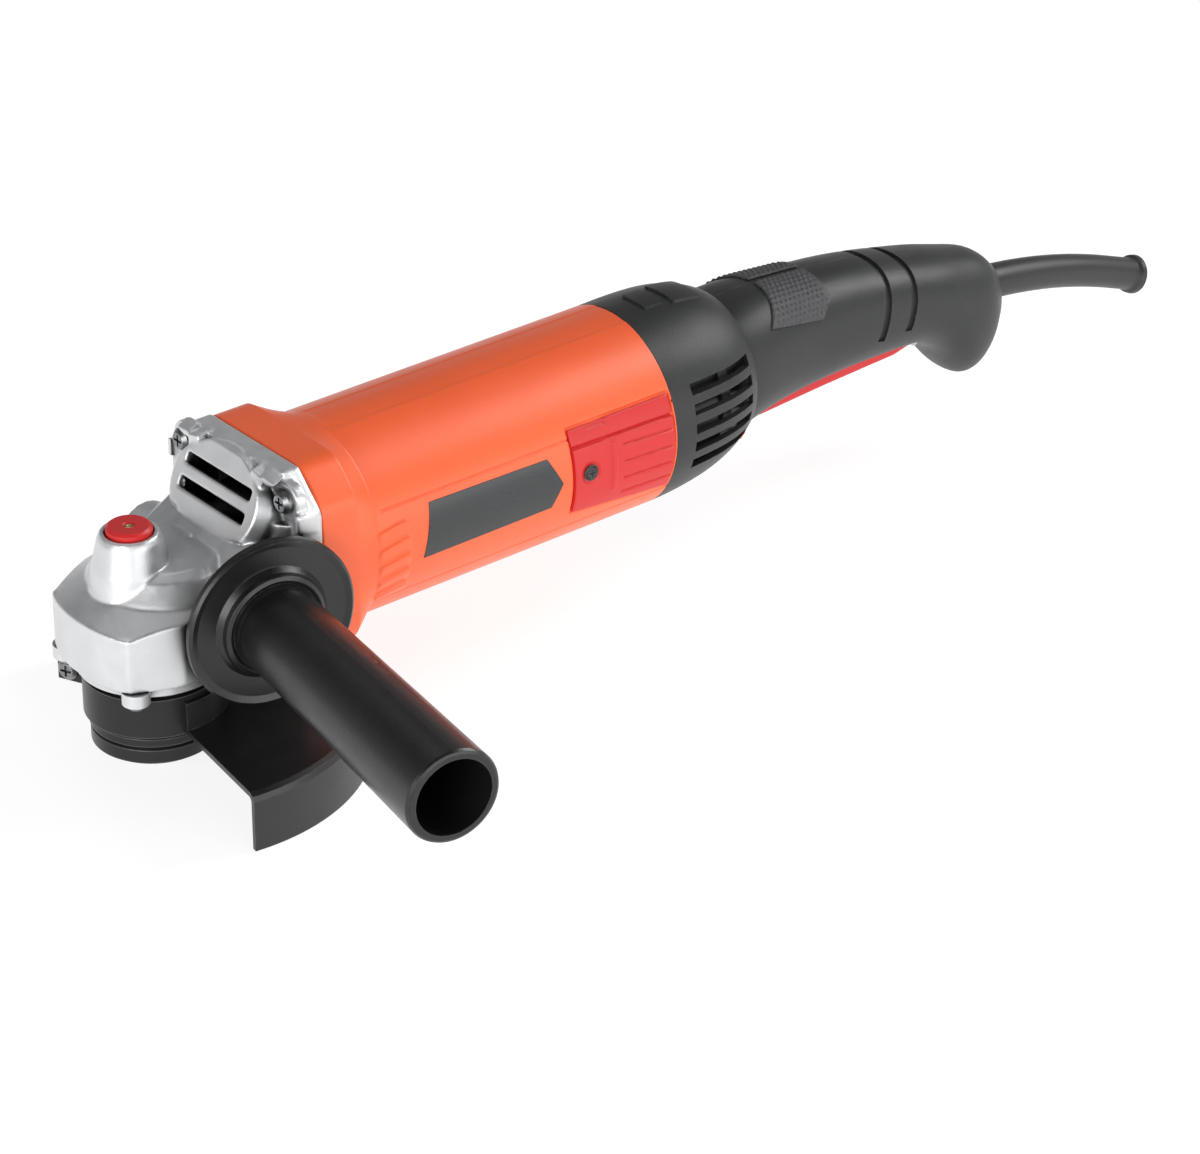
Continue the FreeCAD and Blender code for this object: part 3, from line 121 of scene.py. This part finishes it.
# ---------------------------------------------------------------------------
# Materials
# ---------------------------------------------------------------------------
class Nodes:
    """Short calls for building one material's node tree, in metres of the row frame."""

    def __init__(self, name):
        self.material = bpy.data.materials.new(name)
        self.material.use_nodes = True
        self.tree = self.material.node_tree
        self.shader = self.tree.nodes["Principled BSDF"]
        self.coords = self.tree.nodes.new("ShaderNodeTexCoord").outputs["Object"]

    def add(self, kind, inputs=(), **settings):
        node = self.tree.nodes.new(kind)
        for key, value in settings.items():
            setattr(node, key, value)
        for key, value in dict(inputs).items():
            if isinstance(value, bpy.types.NodeSocket):
                self.tree.links.new(value, node.inputs[key])
            else:
                node.inputs[key].default_value = value
        return node

    def noise(self, scale, detail=2.0, rough=0.5, stretch=None):
        at = self.coords
        if stretch:
            at = self.add("ShaderNodeMapping", {"Vector": at, "Scale": stretch}).outputs[0]
        return self.add("ShaderNodeTexNoise",
                        {"Vector": at, "Scale": scale, "Detail": detail, "Roughness": rough}).outputs[0]

    def remap(self, value, low, high, to_low=0.0, to_high=1.0):
        node = self.add("ShaderNodeMapRange",
                        {"Value": value, "From Min": low, "From Max": high, "To Min": to_low,
                         "To Max": to_high})
        return node.outputs[0]

    def mix(self, share, a, b):
        node = self.add("ShaderNodeMix", data_type="RGBA")
        for key, value in ((0, share), (6, a), (7, b)):
            if isinstance(value, bpy.types.NodeSocket):
                self.tree.links.new(value, node.inputs[key])
            else:
                node.inputs[key].default_value = value
        return node.outputs[2]

    def edges(self, radius):
        """Near 1 on outer edges, 0 on flat faces: how far a rounded normal leans from the true one."""
        rounded = self.add("ShaderNodeBevel", {"Radius": radius}, samples=4).outputs[0]
        flat = self.add("ShaderNodeNewGeometry").outputs["Normal"]
        dot = self.add("ShaderNodeVectorMath", {0: rounded, 1: flat},
                       operation="DOT_PRODUCT").outputs["Value"]
        return self.remap(dot, 0.995, 0.85)

    def normal(self, bumps, radius=0.0):
        """Chains fine bumps onto the surface; radius softens hard edges."""
        last = self.add("ShaderNodeBevel", {"Radius": radius}, samples=4).outputs[0] if radius else None
        for height, strength, distance in bumps:
            inputs = {"Height": height, "Strength": strength, "Distance": distance}
            if last is not None:
                inputs["Normal"] = last
            last = self.add("ShaderNodeBump", inputs).outputs[0]
        self.tree.links.new(last, self.shader.inputs["Normal"])

    def hollow(self, distance, low, high):
        """1 in the open, falling to 0 inside narrow hollows; used as a mask for painted shade."""
        shelter = self.add("ShaderNodeAmbientOcclusion", {"Distance": distance}, samples=6).outputs["AO"]
        return self.remap(shelter, low, high)

    def set(self, **values):
        for key, value in values.items():
            socket = self.shader.inputs[key.replace("_", " ")]
            if isinstance(value, bpy.types.NodeSocket):
                self.tree.links.new(value, socket)
            else:
                socket.default_value = value


def rgb(r, g, b):
    return (r, g, b, 1)


def shade(colour, factor):
    return tuple(min(1.0, c * factor) for c in colour[:3]) + (1,)


def plastic(name, colour, rough, grain=0.00035, depth=0.35, soften=0.0003, wear=0.10, coat=0.0, blotch=0.06):
    """Moulded plastic: spark-eroded grain, faint colour drift, rubbed edges, handling marks in the gloss."""
    m = Nodes(name)
    drift = m.remap(m.noise(14, 3), 0.3, 0.7)
    body = m.mix(drift, shade(colour, 1 - blotch), shade(colour, 1 + blotch))
    edge = m.edges(0.0007)
    scuff = m.remap(m.noise(260, 4, 0.65), 0.45, 0.72)
    worn = m.add("ShaderNodeMath", {0: edge, 1: scuff}, operation="MULTIPLY").outputs[0]
    share = m.add("ShaderNodeMath", {0: worn, 1: wear * 4}, operation="MULTIPLY", use_clamp=True).outputs[0]
    lighter = tuple(c + (0.75 - c) * 0.22 for c in colour[:3]) + (1,)
    m.set(Base_Color=m.mix(share, body, lighter))
    marks = m.noise(38, 5, 0.7, (1, 2.2, 2.2))
    m.set(Roughness=m.remap(marks, 0.25, 0.75, rough - 0.06, rough + 0.07))
    m.set(Coat_Weight=coat, Coat_Roughness=0.25, Specular_IOR_Level=0.5)
    m.normal([(m.noise(1 / grain * 0.6, 2), depth, grain * 0.35), (m.noise(60, 2), 0.06, 0.0006)], soften)
    return m.material


def metal(name, colour, rough, grain=0.0004, depth=0.2, soften=0.00025, streak=None, dirt=0.25, metallic=1.0):
    """Bare or plated metal: fine grain, streaks where it was turned, grime away from the edges."""
    m = Nodes(name)
    edge = m.edges(0.0006)
    cloud = m.remap(m.noise(30, 4, 0.6), 0.3, 0.75)
    base = m.mix(cloud, shade(colour, 1 - dirt * 0.5), colour)
    bright = tuple(c + (1 - c) * 0.3 for c in colour[:3]) + (1,)
    share = m.add("ShaderNodeMath", {0: edge, 1: 0.6}, operation="MULTIPLY").outputs[0]
    m.set(Base_Color=m.mix(share, base, bright), Metallic=metallic)
    fine = m.noise(1 / grain * 0.5, 3, 0.6, streak)
    m.set(Roughness=m.remap(fine, 0.3, 0.7, rough - 0.07, rough + 0.08))
    m.normal([(fine, depth, grain * 0.3)], soften)
    return m.material


def cast_metal(name, colour, rough):
    """Shot-blasted die casting: pebbled skin, painted shade that darkens the hollows to near black, brighter
    rubbed edges.
    """
    m = Nodes(name)
    edge = m.edges(0.0011)
    cloud = m.remap(m.noise(55, 5, 0.65), 0.3, 0.72)
    base = m.mix(cloud, shade(colour, 0.9), shade(colour, 1.05))
    bright = tuple(c + (1 - c) * 0.45 for c in colour[:3]) + (1,)
    share = m.add("ShaderNodeMath", {0: edge, 1: 0.55}, operation="MULTIPLY").outputs[0]
    # painted shade: an ambient-occlusion mask blends the colour to near black in slots, recesses and round
    # the lugs
    painted_hollow_shade = m.hollow(0.018, 0.34, 0.80)
    m.set(Base_Color=m.mix(painted_hollow_shade, rgb(0.012, 0.012, 0.012), m.mix(share, base, bright)), Metallic=0.85)
    pebble = m.noise(1500, 3, 0.6)
    m.set(Roughness=m.remap(m.noise(220, 4), 0.3, 0.7, rough - 0.05, rough + 0.07))
    m.normal([(pebble, 0.35, 0.00012), (m.noise(240, 2), 0.12, 0.0003)], 0.0004)
    return m.material


def wound_copper(name):
    """Enamelled wire laid side by side; the colour darkens in bands between the wires as painted shade."""
    m = Nodes(name)
    wave = m.add("ShaderNodeTexWave", {"Vector": m.coords, "Scale": 420.0, "Distortion": 1.2},
                 bands_direction="Z").outputs[1]
    m.set(Base_Color=m.mix(m.remap(wave, 0, 1), rgb(0.30, 0.10, 0.04), rgb(0.80, 0.36, 0.16)), Metallic=0.9,
          Roughness=0.33)
    m.normal([(wave, 0.6, 0.0003)])
    return m.material


MATERIALS = {}


def make_materials():
    M = MATERIALS
    M["orange_plastic"] = plastic("orange_shell", rgb(0.98, 0.135, 0.035), 0.40, grain=0.0003, depth=0.16,
                                  coat=0.1, wear=0.05)
    M["red_plastic"] = plastic("red_moulding", rgb(0.66, 0.020, 0.020), 0.42, grain=0.0003, depth=0.2)
    M["black_plastic"] = plastic("black_moulding", rgb(0.020, 0.021, 0.022), 0.44, grain=0.0004, depth=0.45)
    M["black_grip"] = plastic("soft_grip", rgb(0.060, 0.061, 0.064), 0.60, grain=0.0005, depth=0.4, wear=0.2)
    M["black_nylon"] = plastic("black_nylon", rgb(0.007, 0.007, 0.0075), 0.32, grain=0.0005, depth=0.25,
                               coat=0.1)
    M["boot_rubber"] = plastic("boot_rubber", rgb(0.028, 0.028, 0.030), 0.42, grain=0.0006, depth=0.25)
    M["natural_plastic"] = plastic("filled_nylon", rgb(0.10, 0.10, 0.11), 0.5)
    M["label_foil"] = plastic("blank_plate", rgb(0.022, 0.026, 0.027), 0.28, grain=0.0002, depth=0.05,
                              coat=0.3, wear=0.02)
    M["carbon"] = plastic("carbon", rgb(0.04, 0.04, 0.045), 0.45)
    M["cast_aluminium"] = cast_metal("cast_aluminium", rgb(0.74, 0.75, 0.76), 0.40)
    M["zinc_steel"] = metal("zinc_plated", rgb(0.26, 0.265, 0.27), 0.34)
    M["ground_steel"] = metal("ground_steel", rgb(0.56, 0.56, 0.57), 0.22, streak=(1, 1, 30))
    M["blackened_steel"] = metal("black_oxide", rgb(0.028, 0.028, 0.030), 0.34, streak=(1, 1, 12),
                                 metallic=0.6)
    M["guard_paint"] = plastic("guard_paint", rgb(0.010, 0.010, 0.0105), 0.38, grain=0.0005, depth=0.3,
                               wear=0.12, coat=0.1)
    M["core_steel"] = metal("core_sheets", rgb(0.30, 0.30, 0.31), 0.4, streak=(60, 1, 1))
    M["brass"] = metal("brass", rgb(0.62, 0.43, 0.16), 0.3)
    M["copper"] = wound_copper("winding_copper")


def dress_cad_nodes():
    """Gives every carried-over solid the material of its slot."""
    for part in frame["record"]["subparts"]:
        o = nodes[part["node"]]
        o.data.materials.clear()
        o.data.materials.append(MATERIALS[part["material_slot"]])


def make_floor():
    m = Nodes("floor")
    m.set(Base_Color=m.mix(m.remap(m.noise(3, 2), 0.2, 0.8), rgb(0.30, 0.30, 0.30), rgb(0.33, 0.33, 0.33)),
          Roughness=0.9)
    m.set(Emission_Color=rgb(1, 1, 1), Emission_Strength=0.84)
    mesh = bpy.data.meshes.new("floor")
    size, z = 12, cad_box[0].z - 0.0005
    mesh.from_pydata([(-size, -size, z), (size, -size, z), (size, size, z), (-size, size, z)], [],
                     [(0, 1, 2, 3)])
    mesh.materials.append(m.material)
    floor = bpy.data.objects.new("floor", mesh)
    scene.collection.objects.link(floor)


# ---------------------------------------------------------------------------
# Mesh helpers
# ---------------------------------------------------------------------------
AXIS = AXIS_Z / MM
BARREL = 35.0
SIDES = (("right", -1), ("left", 1))


def piece(name, verts, faces, body, slot, sharp=None):
    """A new shown piece from points in millimetres, riding on one CAD body."""
    mesh = bpy.data.meshes.new(name)
    mesh.from_pydata([tuple(c * MM for c in v) for v in verts], [], faces)
    return finish_piece(name, mesh, body, slot, sharp)


def finish_piece(name, mesh, body, slot, sharp=None):
    """Welds and shades a mesh, then hangs it on its body; edges bent more than sharp degrees stay crisp."""
    bm = bmesh.new()
    bm.from_mesh(mesh)
    bmesh.ops.remove_doubles(bm, verts=bm.verts, dist=1e-7)
    bmesh.ops.recalc_face_normals(bm, faces=bm.faces)
    if sharp:
        for edge in bm.edges:
            edge.smooth = len(edge.link_faces) == 2 and edge.calc_face_angle(0) < math.radians(sharp)
    bm.to_mesh(mesh)
    bm.free()
    mesh.polygons.foreach_set("use_smooth", [True] * len(mesh.polygons))
    mesh.materials.append(MATERIALS[slot])
    o = bpy.data.objects.new(name, mesh)
    scene.collection.objects.link(o)
    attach(o, body)
    return o


def grid_faces(rows, columns, closed=False, offset=0, flip=False):
    """Quads of a grid of points stored row by row."""
    faces = []
    for i in range(rows - 1):
        for j in range(columns if closed else columns - 1):
            a, b = i * columns + j, i * columns + (j + 1) % columns
            face = (a + offset, b + offset, b + columns + offset, a + columns + offset)
            faces.append(face[::-1] if flip else face)
    return faces


def around(x, angle, radius):
    """A point on the motor body: the angle starts at the top and grows towards the near side."""
    return (x, -radius * math.sin(angle), AXIS + radius * math.cos(angle))


def clamp(value):
    return max(0, min(1, value))


def bump_line(distance, half, height):
    """A soft ridge or groove with a flat middle."""
    return height * max(0.0, min(1.0, 1.5 - abs(distance) / half))


def polygon_distance(point, corners):
    """Signed distance to a convex outline, negative inside."""
    x, y = point
    far = -1e9
    for (ax, ay), (bx, by) in zip(corners, corners[1:] + corners[:1]):
        length = math.hypot(bx - ax, by - ay)
        far = max(far, ((x - ax) * (by - ay) - (y - ay) * (bx - ax)) / length)
    return far


# ---------------------------------------------------------------------------
# Motor housing: barrel, squared collar, finger ribs, seams
# ---------------------------------------------------------------------------
COVER = [(145, 46.4), (187.6, 41.6), (187.6, 75.6), (145, 75.6)]
COLLAR_START, COLLAR_STEP, COLLAR_END = 43, 57, 66
COLLAR_HALF_WIDTH, COLLAR_HALF_HEIGHT, COLLAR_CHAMFER = 35, 35.4, 11.5
CORNER_CRISPNESS = 28
BARREL_END = 188.9
INSIDE_RADIUS = 32.2
UPPER_SEAM, LOWER_SEAM = 72.7, 39.8
RIB_PITCH, RIB_HEIGHT, RIB_SLOPE = 5.9, 0.95, 0.16


def collar_reach(angle):
    """Distance from the motor axis to the squared collar, its edges slightly rounded."""
    across, up = abs(math.sin(angle)) + 1e-9, abs(math.cos(angle)) + 1e-9
    corner = COLLAR_HALF_WIDTH + COLLAR_HALF_HEIGHT - COLLAR_CHAMFER
    walls = (COLLAR_HALF_WIDTH / across, COLLAR_HALF_HEIGHT / up, corner / (across + up))
    return sum(w ** -CORNER_CRISPNESS for w in walls) ** (-1 / CORNER_CRISPNESS)


def finger_rib(x, turn, z):
    """Height of the saw-tooth finger ribs behind the collar, which climb towards the rear."""
    phase = ((z - RIB_SLOPE * (x - 66) - 37.2) / RIB_PITCH) % 1.0
    ends = min(1, (x - 64.5) / 1.2) * clamp(78.0 - x)
    spread = min(1, (turn - 74) / 2) * min(1, (122 - turn) / 2)
    return RIB_HEIGHT * ends * spread * min(1, phase * 1.35) * min(1, (1 - phase) / 0.12)


def housing_radius(x, angle):
    """Outer surface of the orange housing."""
    turn = abs(math.degrees(math.atan2(math.sin(angle), math.cos(angle))))
    z = AXIS + BARREL * math.cos(angle)
    radius = BARREL
    if x < COLLAR_END + 1:
        reach = collar_reach(angle)
        share = clamp((x - COLLAR_STEP) / (COLLAR_END - COLLAR_STEP))
        radius = max(BARREL, reach + (BARREL - reach) * share)
        radius -= 0.7 * max(0, 1 - (x - COLLAR_START) / 0.8) ** 2
    if x > COLLAR_END + 0.5:
        fade = min(1, (x - COLLAR_END - 0.5) / 1.5)
        # the slightly sunk strip along the top, then the two moulded seams
        radius -= 0.22 * fade * clamp((12.6 - turn) / 0.8 + 0.5)
        if turn < 90:
            radius -= bump_line((z - UPPER_SEAM) * 1.05, 0.32, 0.5) * fade
        else:
            radius -= bump_line((z - LOWER_SEAM) * 1.05, 0.3, 0.35) * fade
    if 64.5 < x < 78.5 and 74 < turn < 122:
        radius = max(radius, BARREL + finger_rib(x, turn, z))
    # the seat that the brush cover lies in
    if 143 < x < 189 and 35 < turn < 130:
        radius -= 0.9 * clamp((0.75 - polygon_distance((x, z), COVER)) / 0.35)
    return radius


def motor_housing():
    """One closed shell: the outer skin as a grid of rings, and a plain round inside."""
    bands = ((COLLAR_START, 80, 0.4), (80, 143, 1.0), (143, 147, 0.3), (147, 186, 0.75),
             (186, BARREL_END, 0.3))
    xs = [x for first, last, step in bands for x in np.arange(first, last, step)] + [BARREL_END]
    count = 720
    angles = [2 * math.pi * i / count for i in range(count)]
    verts = [around(x, a, housing_radius(x, a)) for x in xs for a in angles]
    outer = len(verts)
    verts += [around(x, a, INSIDE_RADIUS) for x in (xs[0], xs[-1]) for a in angles]
    faces = grid_faces(len(xs), count, True) + grid_faces(2, count, True, outer, True)
    for row, inner in ((0, outer), ((len(xs) - 1) * count, outer + count)):
        for j in range(count):
            k = (j + 1) % count
            face = (row + j, inner + j, inner + k, row + k)
            faces.append(face if row == 0 else face[::-1])
    shell = piece("housing_shell", verts, faces, "housing", "orange_plastic", sharp=50)
    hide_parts("motor_housing")


# ---------------------------------------------------------------------------
# Brush covers: top strip, upright rib, finger grooves, screw seat
# ---------------------------------------------------------------------------
COVER_RADIUS, COVER_BACK = 35.75, 33.4
COVER_FIRST, COVER_LAST, COVER_TOP = 145.15, 187.45, 75.45
COVER_SCREW = (151.5, 59.8)
COVER_RIB = 161.6
COVER_GROOVES = (65.2, 59.2, 53.2, 47.6)


def cover_radius(x, z):
    """Outer surface of one red cover."""
    edge = -polygon_distance((x, z), COVER)
    radius = COVER_RADIUS - 0.5 * max(0, 1 - edge / 0.6) ** 2
    strip = z - (69.8 - 0.02 * (x - 145))
    radius -= bump_line(strip, 0.45, 0.9)
    if strip > 0:
        radius -= 0.35
        if 153 < x < 160:
            radius -= 0.5 * clamp((z - 73.6) / 0.5)
    else:
        aside = abs(x - COVER_RIB)
        if aside < 1.3 and 49.5 < z < 68.2:
            radius += 0.55 * min(1, (1.3 - aside) / 0.5) * min(1, (68.2 - z) / 0.8, (z - 49.5) / 0.8)
        if x > 165:
            start = min(1, (x - 165) / 1.2)
            for level in COVER_GROOVES:
                radius -= bump_line(z - level + 0.05 * (x - 165), 0.42, 0.75) * start
        seat = math.hypot(x - COVER_SCREW[0], z - COVER_SCREW[1])
        radius -= 0.5 * clamp((4.0 - seat) / 0.5)
        if x < 163 and abs(z - 44.5 + 0.11 * (x - 145)) < 0.4:
            radius -= 0.35
    return radius


def brush_covers():
    """Both red lids: a curved front with its details, a plain back, and walls round the border."""
    columns, rows = 130, 96
    middle = 35.3
    for side, sign in SIDES:
        verts, inner = [], []
        for i in range(rows):
            v = i / (rows - 1)
            for j in range(columns):
                x = COVER_FIRST + (COVER_LAST - COVER_FIRST) * j / (columns - 1)
                low = 46.4 - (46.4 - 41.6) * (x - 145) / 42.6
                angle_low, angle_high = [math.acos((z - AXIS) / middle) for z in (low + 0.15, COVER_TOP)]
                angle = angle_high + (angle_low - angle_high) * v
                z = AXIS + middle * math.cos(angle)
                point = around(x, angle, cover_radius(x, z))
                back = around(x, angle, COVER_BACK)
                verts.append((point[0], -sign * point[1], point[2]))
                inner.append((back[0], -sign * back[1], back[2]))
        total = rows * columns
        faces = grid_faces(rows, columns) + grid_faces(rows, columns, False, total, True)
        border = [j for j in range(columns)] + [i * columns + columns - 1 for i in range(1, rows)]
        border += [total - 1 - j for j in range(1, columns)] + [i * columns for i in range(rows - 2, 0, -1)]
        for a, b in zip(border, border[1:] + border[:1]):
            faces.append((a, a + total, b + total, b))
        cover = piece("brush_lid_" + side, verts + inner, faces, "housing", "red_plastic", sharp=50)
        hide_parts("brush_cover_" + side)


# ---------------------------------------------------------------------------
# Gear case: the cast body with its ribs, all edges rounded
# ---------------------------------------------------------------------------
def wedge(bm, corners, direction):
    """A closed block: a flat outline pushed along a direction, millimetres."""
    low = [bm.verts.new([c * MM for c in p]) for p in corners]
    high = [bm.verts.new([(c + d) * MM for c, d in zip(p, direction)]) for p in corners]
    bm.faces.new(low[::-1])
    bm.faces.new(high)
    for i in range(len(corners)):
        k = (i + 1) % len(corners)
        bm.faces.new((low[i], low[k], high[k], high[i]))


def cast_body(name, source, extra, voxel, rounds, slot, body):
    """Joins a CAD solid with added blocks, remeshes it and rounds every edge like a casting."""
    bm = bmesh.new()
    bm.from_mesh(nodes[source].data)
    bmesh.ops.remove_doubles(bm, verts=bm.verts, dist=1e-6)
    extra(bm)
    mesh = bpy.data.meshes.new(name)
    bm.to_mesh(mesh)
    bm.free()
    rough = bpy.data.objects.new(name + "_rough", mesh)
    scene.collection.objects.link(rough)
    remesh = rough.modifiers.new("remesh", "REMESH")
    remesh.mode, remesh.voxel_size, remesh.use_smooth_shade = "VOXEL", voxel * MM, True
    soften = rough.modifiers.new("soften", "SMOOTH")
    soften.factor, soften.iterations = 0.5, rounds
    bpy.context.view_layer.update()
    made = bpy.data.meshes.new_from_object(rough.evaluated_get(bpy.context.evaluated_depsgraph_get()))
    bpy.data.objects.remove(rough)
    made.materials.clear()
    o = finish_piece(name, made, body, slot)
    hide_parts(source)
    return o


def casting_ribs(bm):
    """Gussets between the flange and the vent hood, the parting lugs, and a web behind the vent plate."""
    wedge(bm, [(22.85, -9, 72.6), (24.25, -9, 76.1), (25.2, -9, 76.1), (23.8, -9, 72.6)], (0, 18, 0))
    for sign in (-1, 1):
        outline = ((17, 92.4), (23.6, 92.8), (26.8, 94.2), (24.2, 94.6), (19.8, 94.9))
        gusset = [(35.5, sign * y, z) for y, z in outline]
        wedge(bm, gusset, (-4.2, 0, -2.4))
        wedge(bm, [(31, sign * 14.5, 93.2), (31, sign * 19.5, 92.0), (37, sign * 20.5, 93.6),
                   (37, sign * 13.5, 94.4)],
              (0, 0, -7))
        wedge(bm, [(33.5, sign * 33.4, 77.5), (41.5, sign * 33.4, 76.0), (41.5, sign * 33.4, 82.5),
                   (33.5, sign * 33.4, 83.5)],
              (0, sign * 1.9, 0))
        wedge(bm, [(27, sign * 22, 62), (35.5, sign * 31, 62), (35.5, sign * 31, 78), (27, sign * 20, 78)],
              (0, -sign * 4, 0))


def gear_case():
    cast_body("gear_case_cast", "gear_case", casting_ribs, 0.5, 5, "cast_aluminium", "housing")


# ---------------------------------------------------------------------------
# Small parts
# ---------------------------------------------------------------------------
def lathe(name, profile, origin, way, body, slot, segments=96, sharp=40, tube=False):
    """A turned piece: profile of (along, radius) in millimetres about an axis; a tube's profile is a loop."""
    profile = profile + profile[:1] if tube else profile
    way = Vector(way).normalized()
    side = way.orthogonal().normalized()
    other = way.cross(side)
    verts = []
    for along, radius in profile:
        for i in range(segments):
            turn = 2 * math.pi * i / segments
            spoke = side * math.cos(turn) + other * math.sin(turn)
            verts.append(Vector(origin) + way * along + spoke * radius)
    faces = grid_faces(len(profile), segments, True)
    if not tube:
        faces.append(tuple(range(segments))[::-1])
        faces.append(tuple((len(profile) - 1) * segments + i for i in range(segments)))
    return piece(name, verts, faces, body, slot, sharp=sharp)


def button_core():
    """The small dark brass rivet in the middle of the lock button."""
    profile = [(79.2, 1.5), (79.75, 1.5), (79.9, 1.25), (79.9, 0.55), (79.65, 0.4)]
    lathe("lock_button_rivet", profile, (-6, 0, 0), (0, 0, 1), "spindle_lock", "brass", 48)


def coil_spring(node, body, middle, radius, wire, low, high, turns):
    """A round-wire spring between two given heights, millimetres."""
    steps, sides = turns * 28, 10
    verts = []
    for i in range(steps + 1):
        turn = 2 * math.pi * turns * i / steps
        out = Vector((math.cos(turn), math.sin(turn), 0))
        height = low + wire + (high - low - 2 * wire) * i / steps
        centre = Vector((middle[0], middle[1], height)) + out * radius
        for k in range(sides):
            roll = 2 * math.pi * k / sides
            verts.append(centre + (out * math.cos(roll) + Vector((0, 0, 1)) * math.sin(roll)) * wire)
    faces = grid_faces(steps + 1, sides, True)
    faces.append(tuple(range(sides))[::-1])
    faces.append(tuple(steps * sides + k for k in range(sides)))
    spring = piece(node + "_coil", verts, faces, body, "ground_steel")
    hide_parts(node)
    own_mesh(spring)


def louvre_shade_sleeve():
    """A dark sleeve behind the louvres that stands in as painted shade: it closes the view through the end
    cap with black.
    """
    profile = [(196, 27.6), (224, 26.2), (224, 25.6), (196, 27.0)]
    lathe("louvre_painted_shade_sleeve", profile, (0, 0, AXIS), (1, 0, 0), "housing", "black_nylon", 96, 40, True)


PAD_CENTRE, PAD_RADIUS = 62, 22
STUD_ROW, STUD_PITCH, STUD_HEIGHT, STUD_RADIUS = 1.9, 2.1, 0.42, 0.72


def grip_pads():
    """Soft pads covered in small round studs."""
    for side, sign in SIDES:
        source = nodes["grip_pad_" + side]
        rough = bpy.data.objects.new("pad_rough", source.data.copy())
        scene.collection.objects.link(rough)
        remesh = rough.modifiers.new("remesh", "REMESH")
        remesh.mode, remesh.voxel_size = "VOXEL", 0.34 * MM
        bpy.context.view_layer.update()
        made = bpy.data.meshes.new_from_object(rough.evaluated_get(bpy.context.evaluated_depsgraph_get()))
        bpy.data.objects.remove(rough)
        made.materials.clear()
        for v in made.vertices:
            x, y, z = [c / MM for c in v.co]
            arc = math.atan2(abs(y), z - PAD_CENTRE) * PAD_RADIUS
            row = round(arc / STUD_ROW)
            along = x + (row % 2) * STUD_PITCH / 2
            away = math.hypot(arc - row * STUD_ROW, along - round(along / STUD_PITCH) * STUD_PITCH)
            lift = STUD_HEIGHT * max(0, 1 - (away / STUD_RADIUS) ** 2)
            way = Vector((0, y, z - PAD_CENTRE)).normalized()
            if way.dot(v.normal) > 0.5 and 246 < x < 272 and z < 87.5:
                v.co += way * lift * MM
        pad = finish_piece("grip_pad_studs_" + side, made, "housing", "black_grip")
        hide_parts("grip_pad_" + side)


make_materials()
dress_cad_nodes()
motor_housing()
brush_covers()
gear_case()
grip_pads()
button_core()
louvre_shade_sleeve()
coil_spring("lock_spring", "housing", (-9, 0), 2.4, 0.3, 69.6, 77.5, 5)
coil_spring("paddle_spring", "housing", (262, 0), 3.0, 0.4, 42.2, 56.3, 7)
make_camera()
make_world()
area_light("key", (-1.25, -0.65, 0.42), (1.0, 0.8), 12)
area_light("side", (0.30, -1.5, 0.32), (1.7, 0.6), 8.5)
area_light("rim", (1.25, -0.35, 0.95), (0.7, 0.7), 11)
area_light("top", (0.1, 0.5, 1.5), (1.0, 1.0), 3)
make_floor()
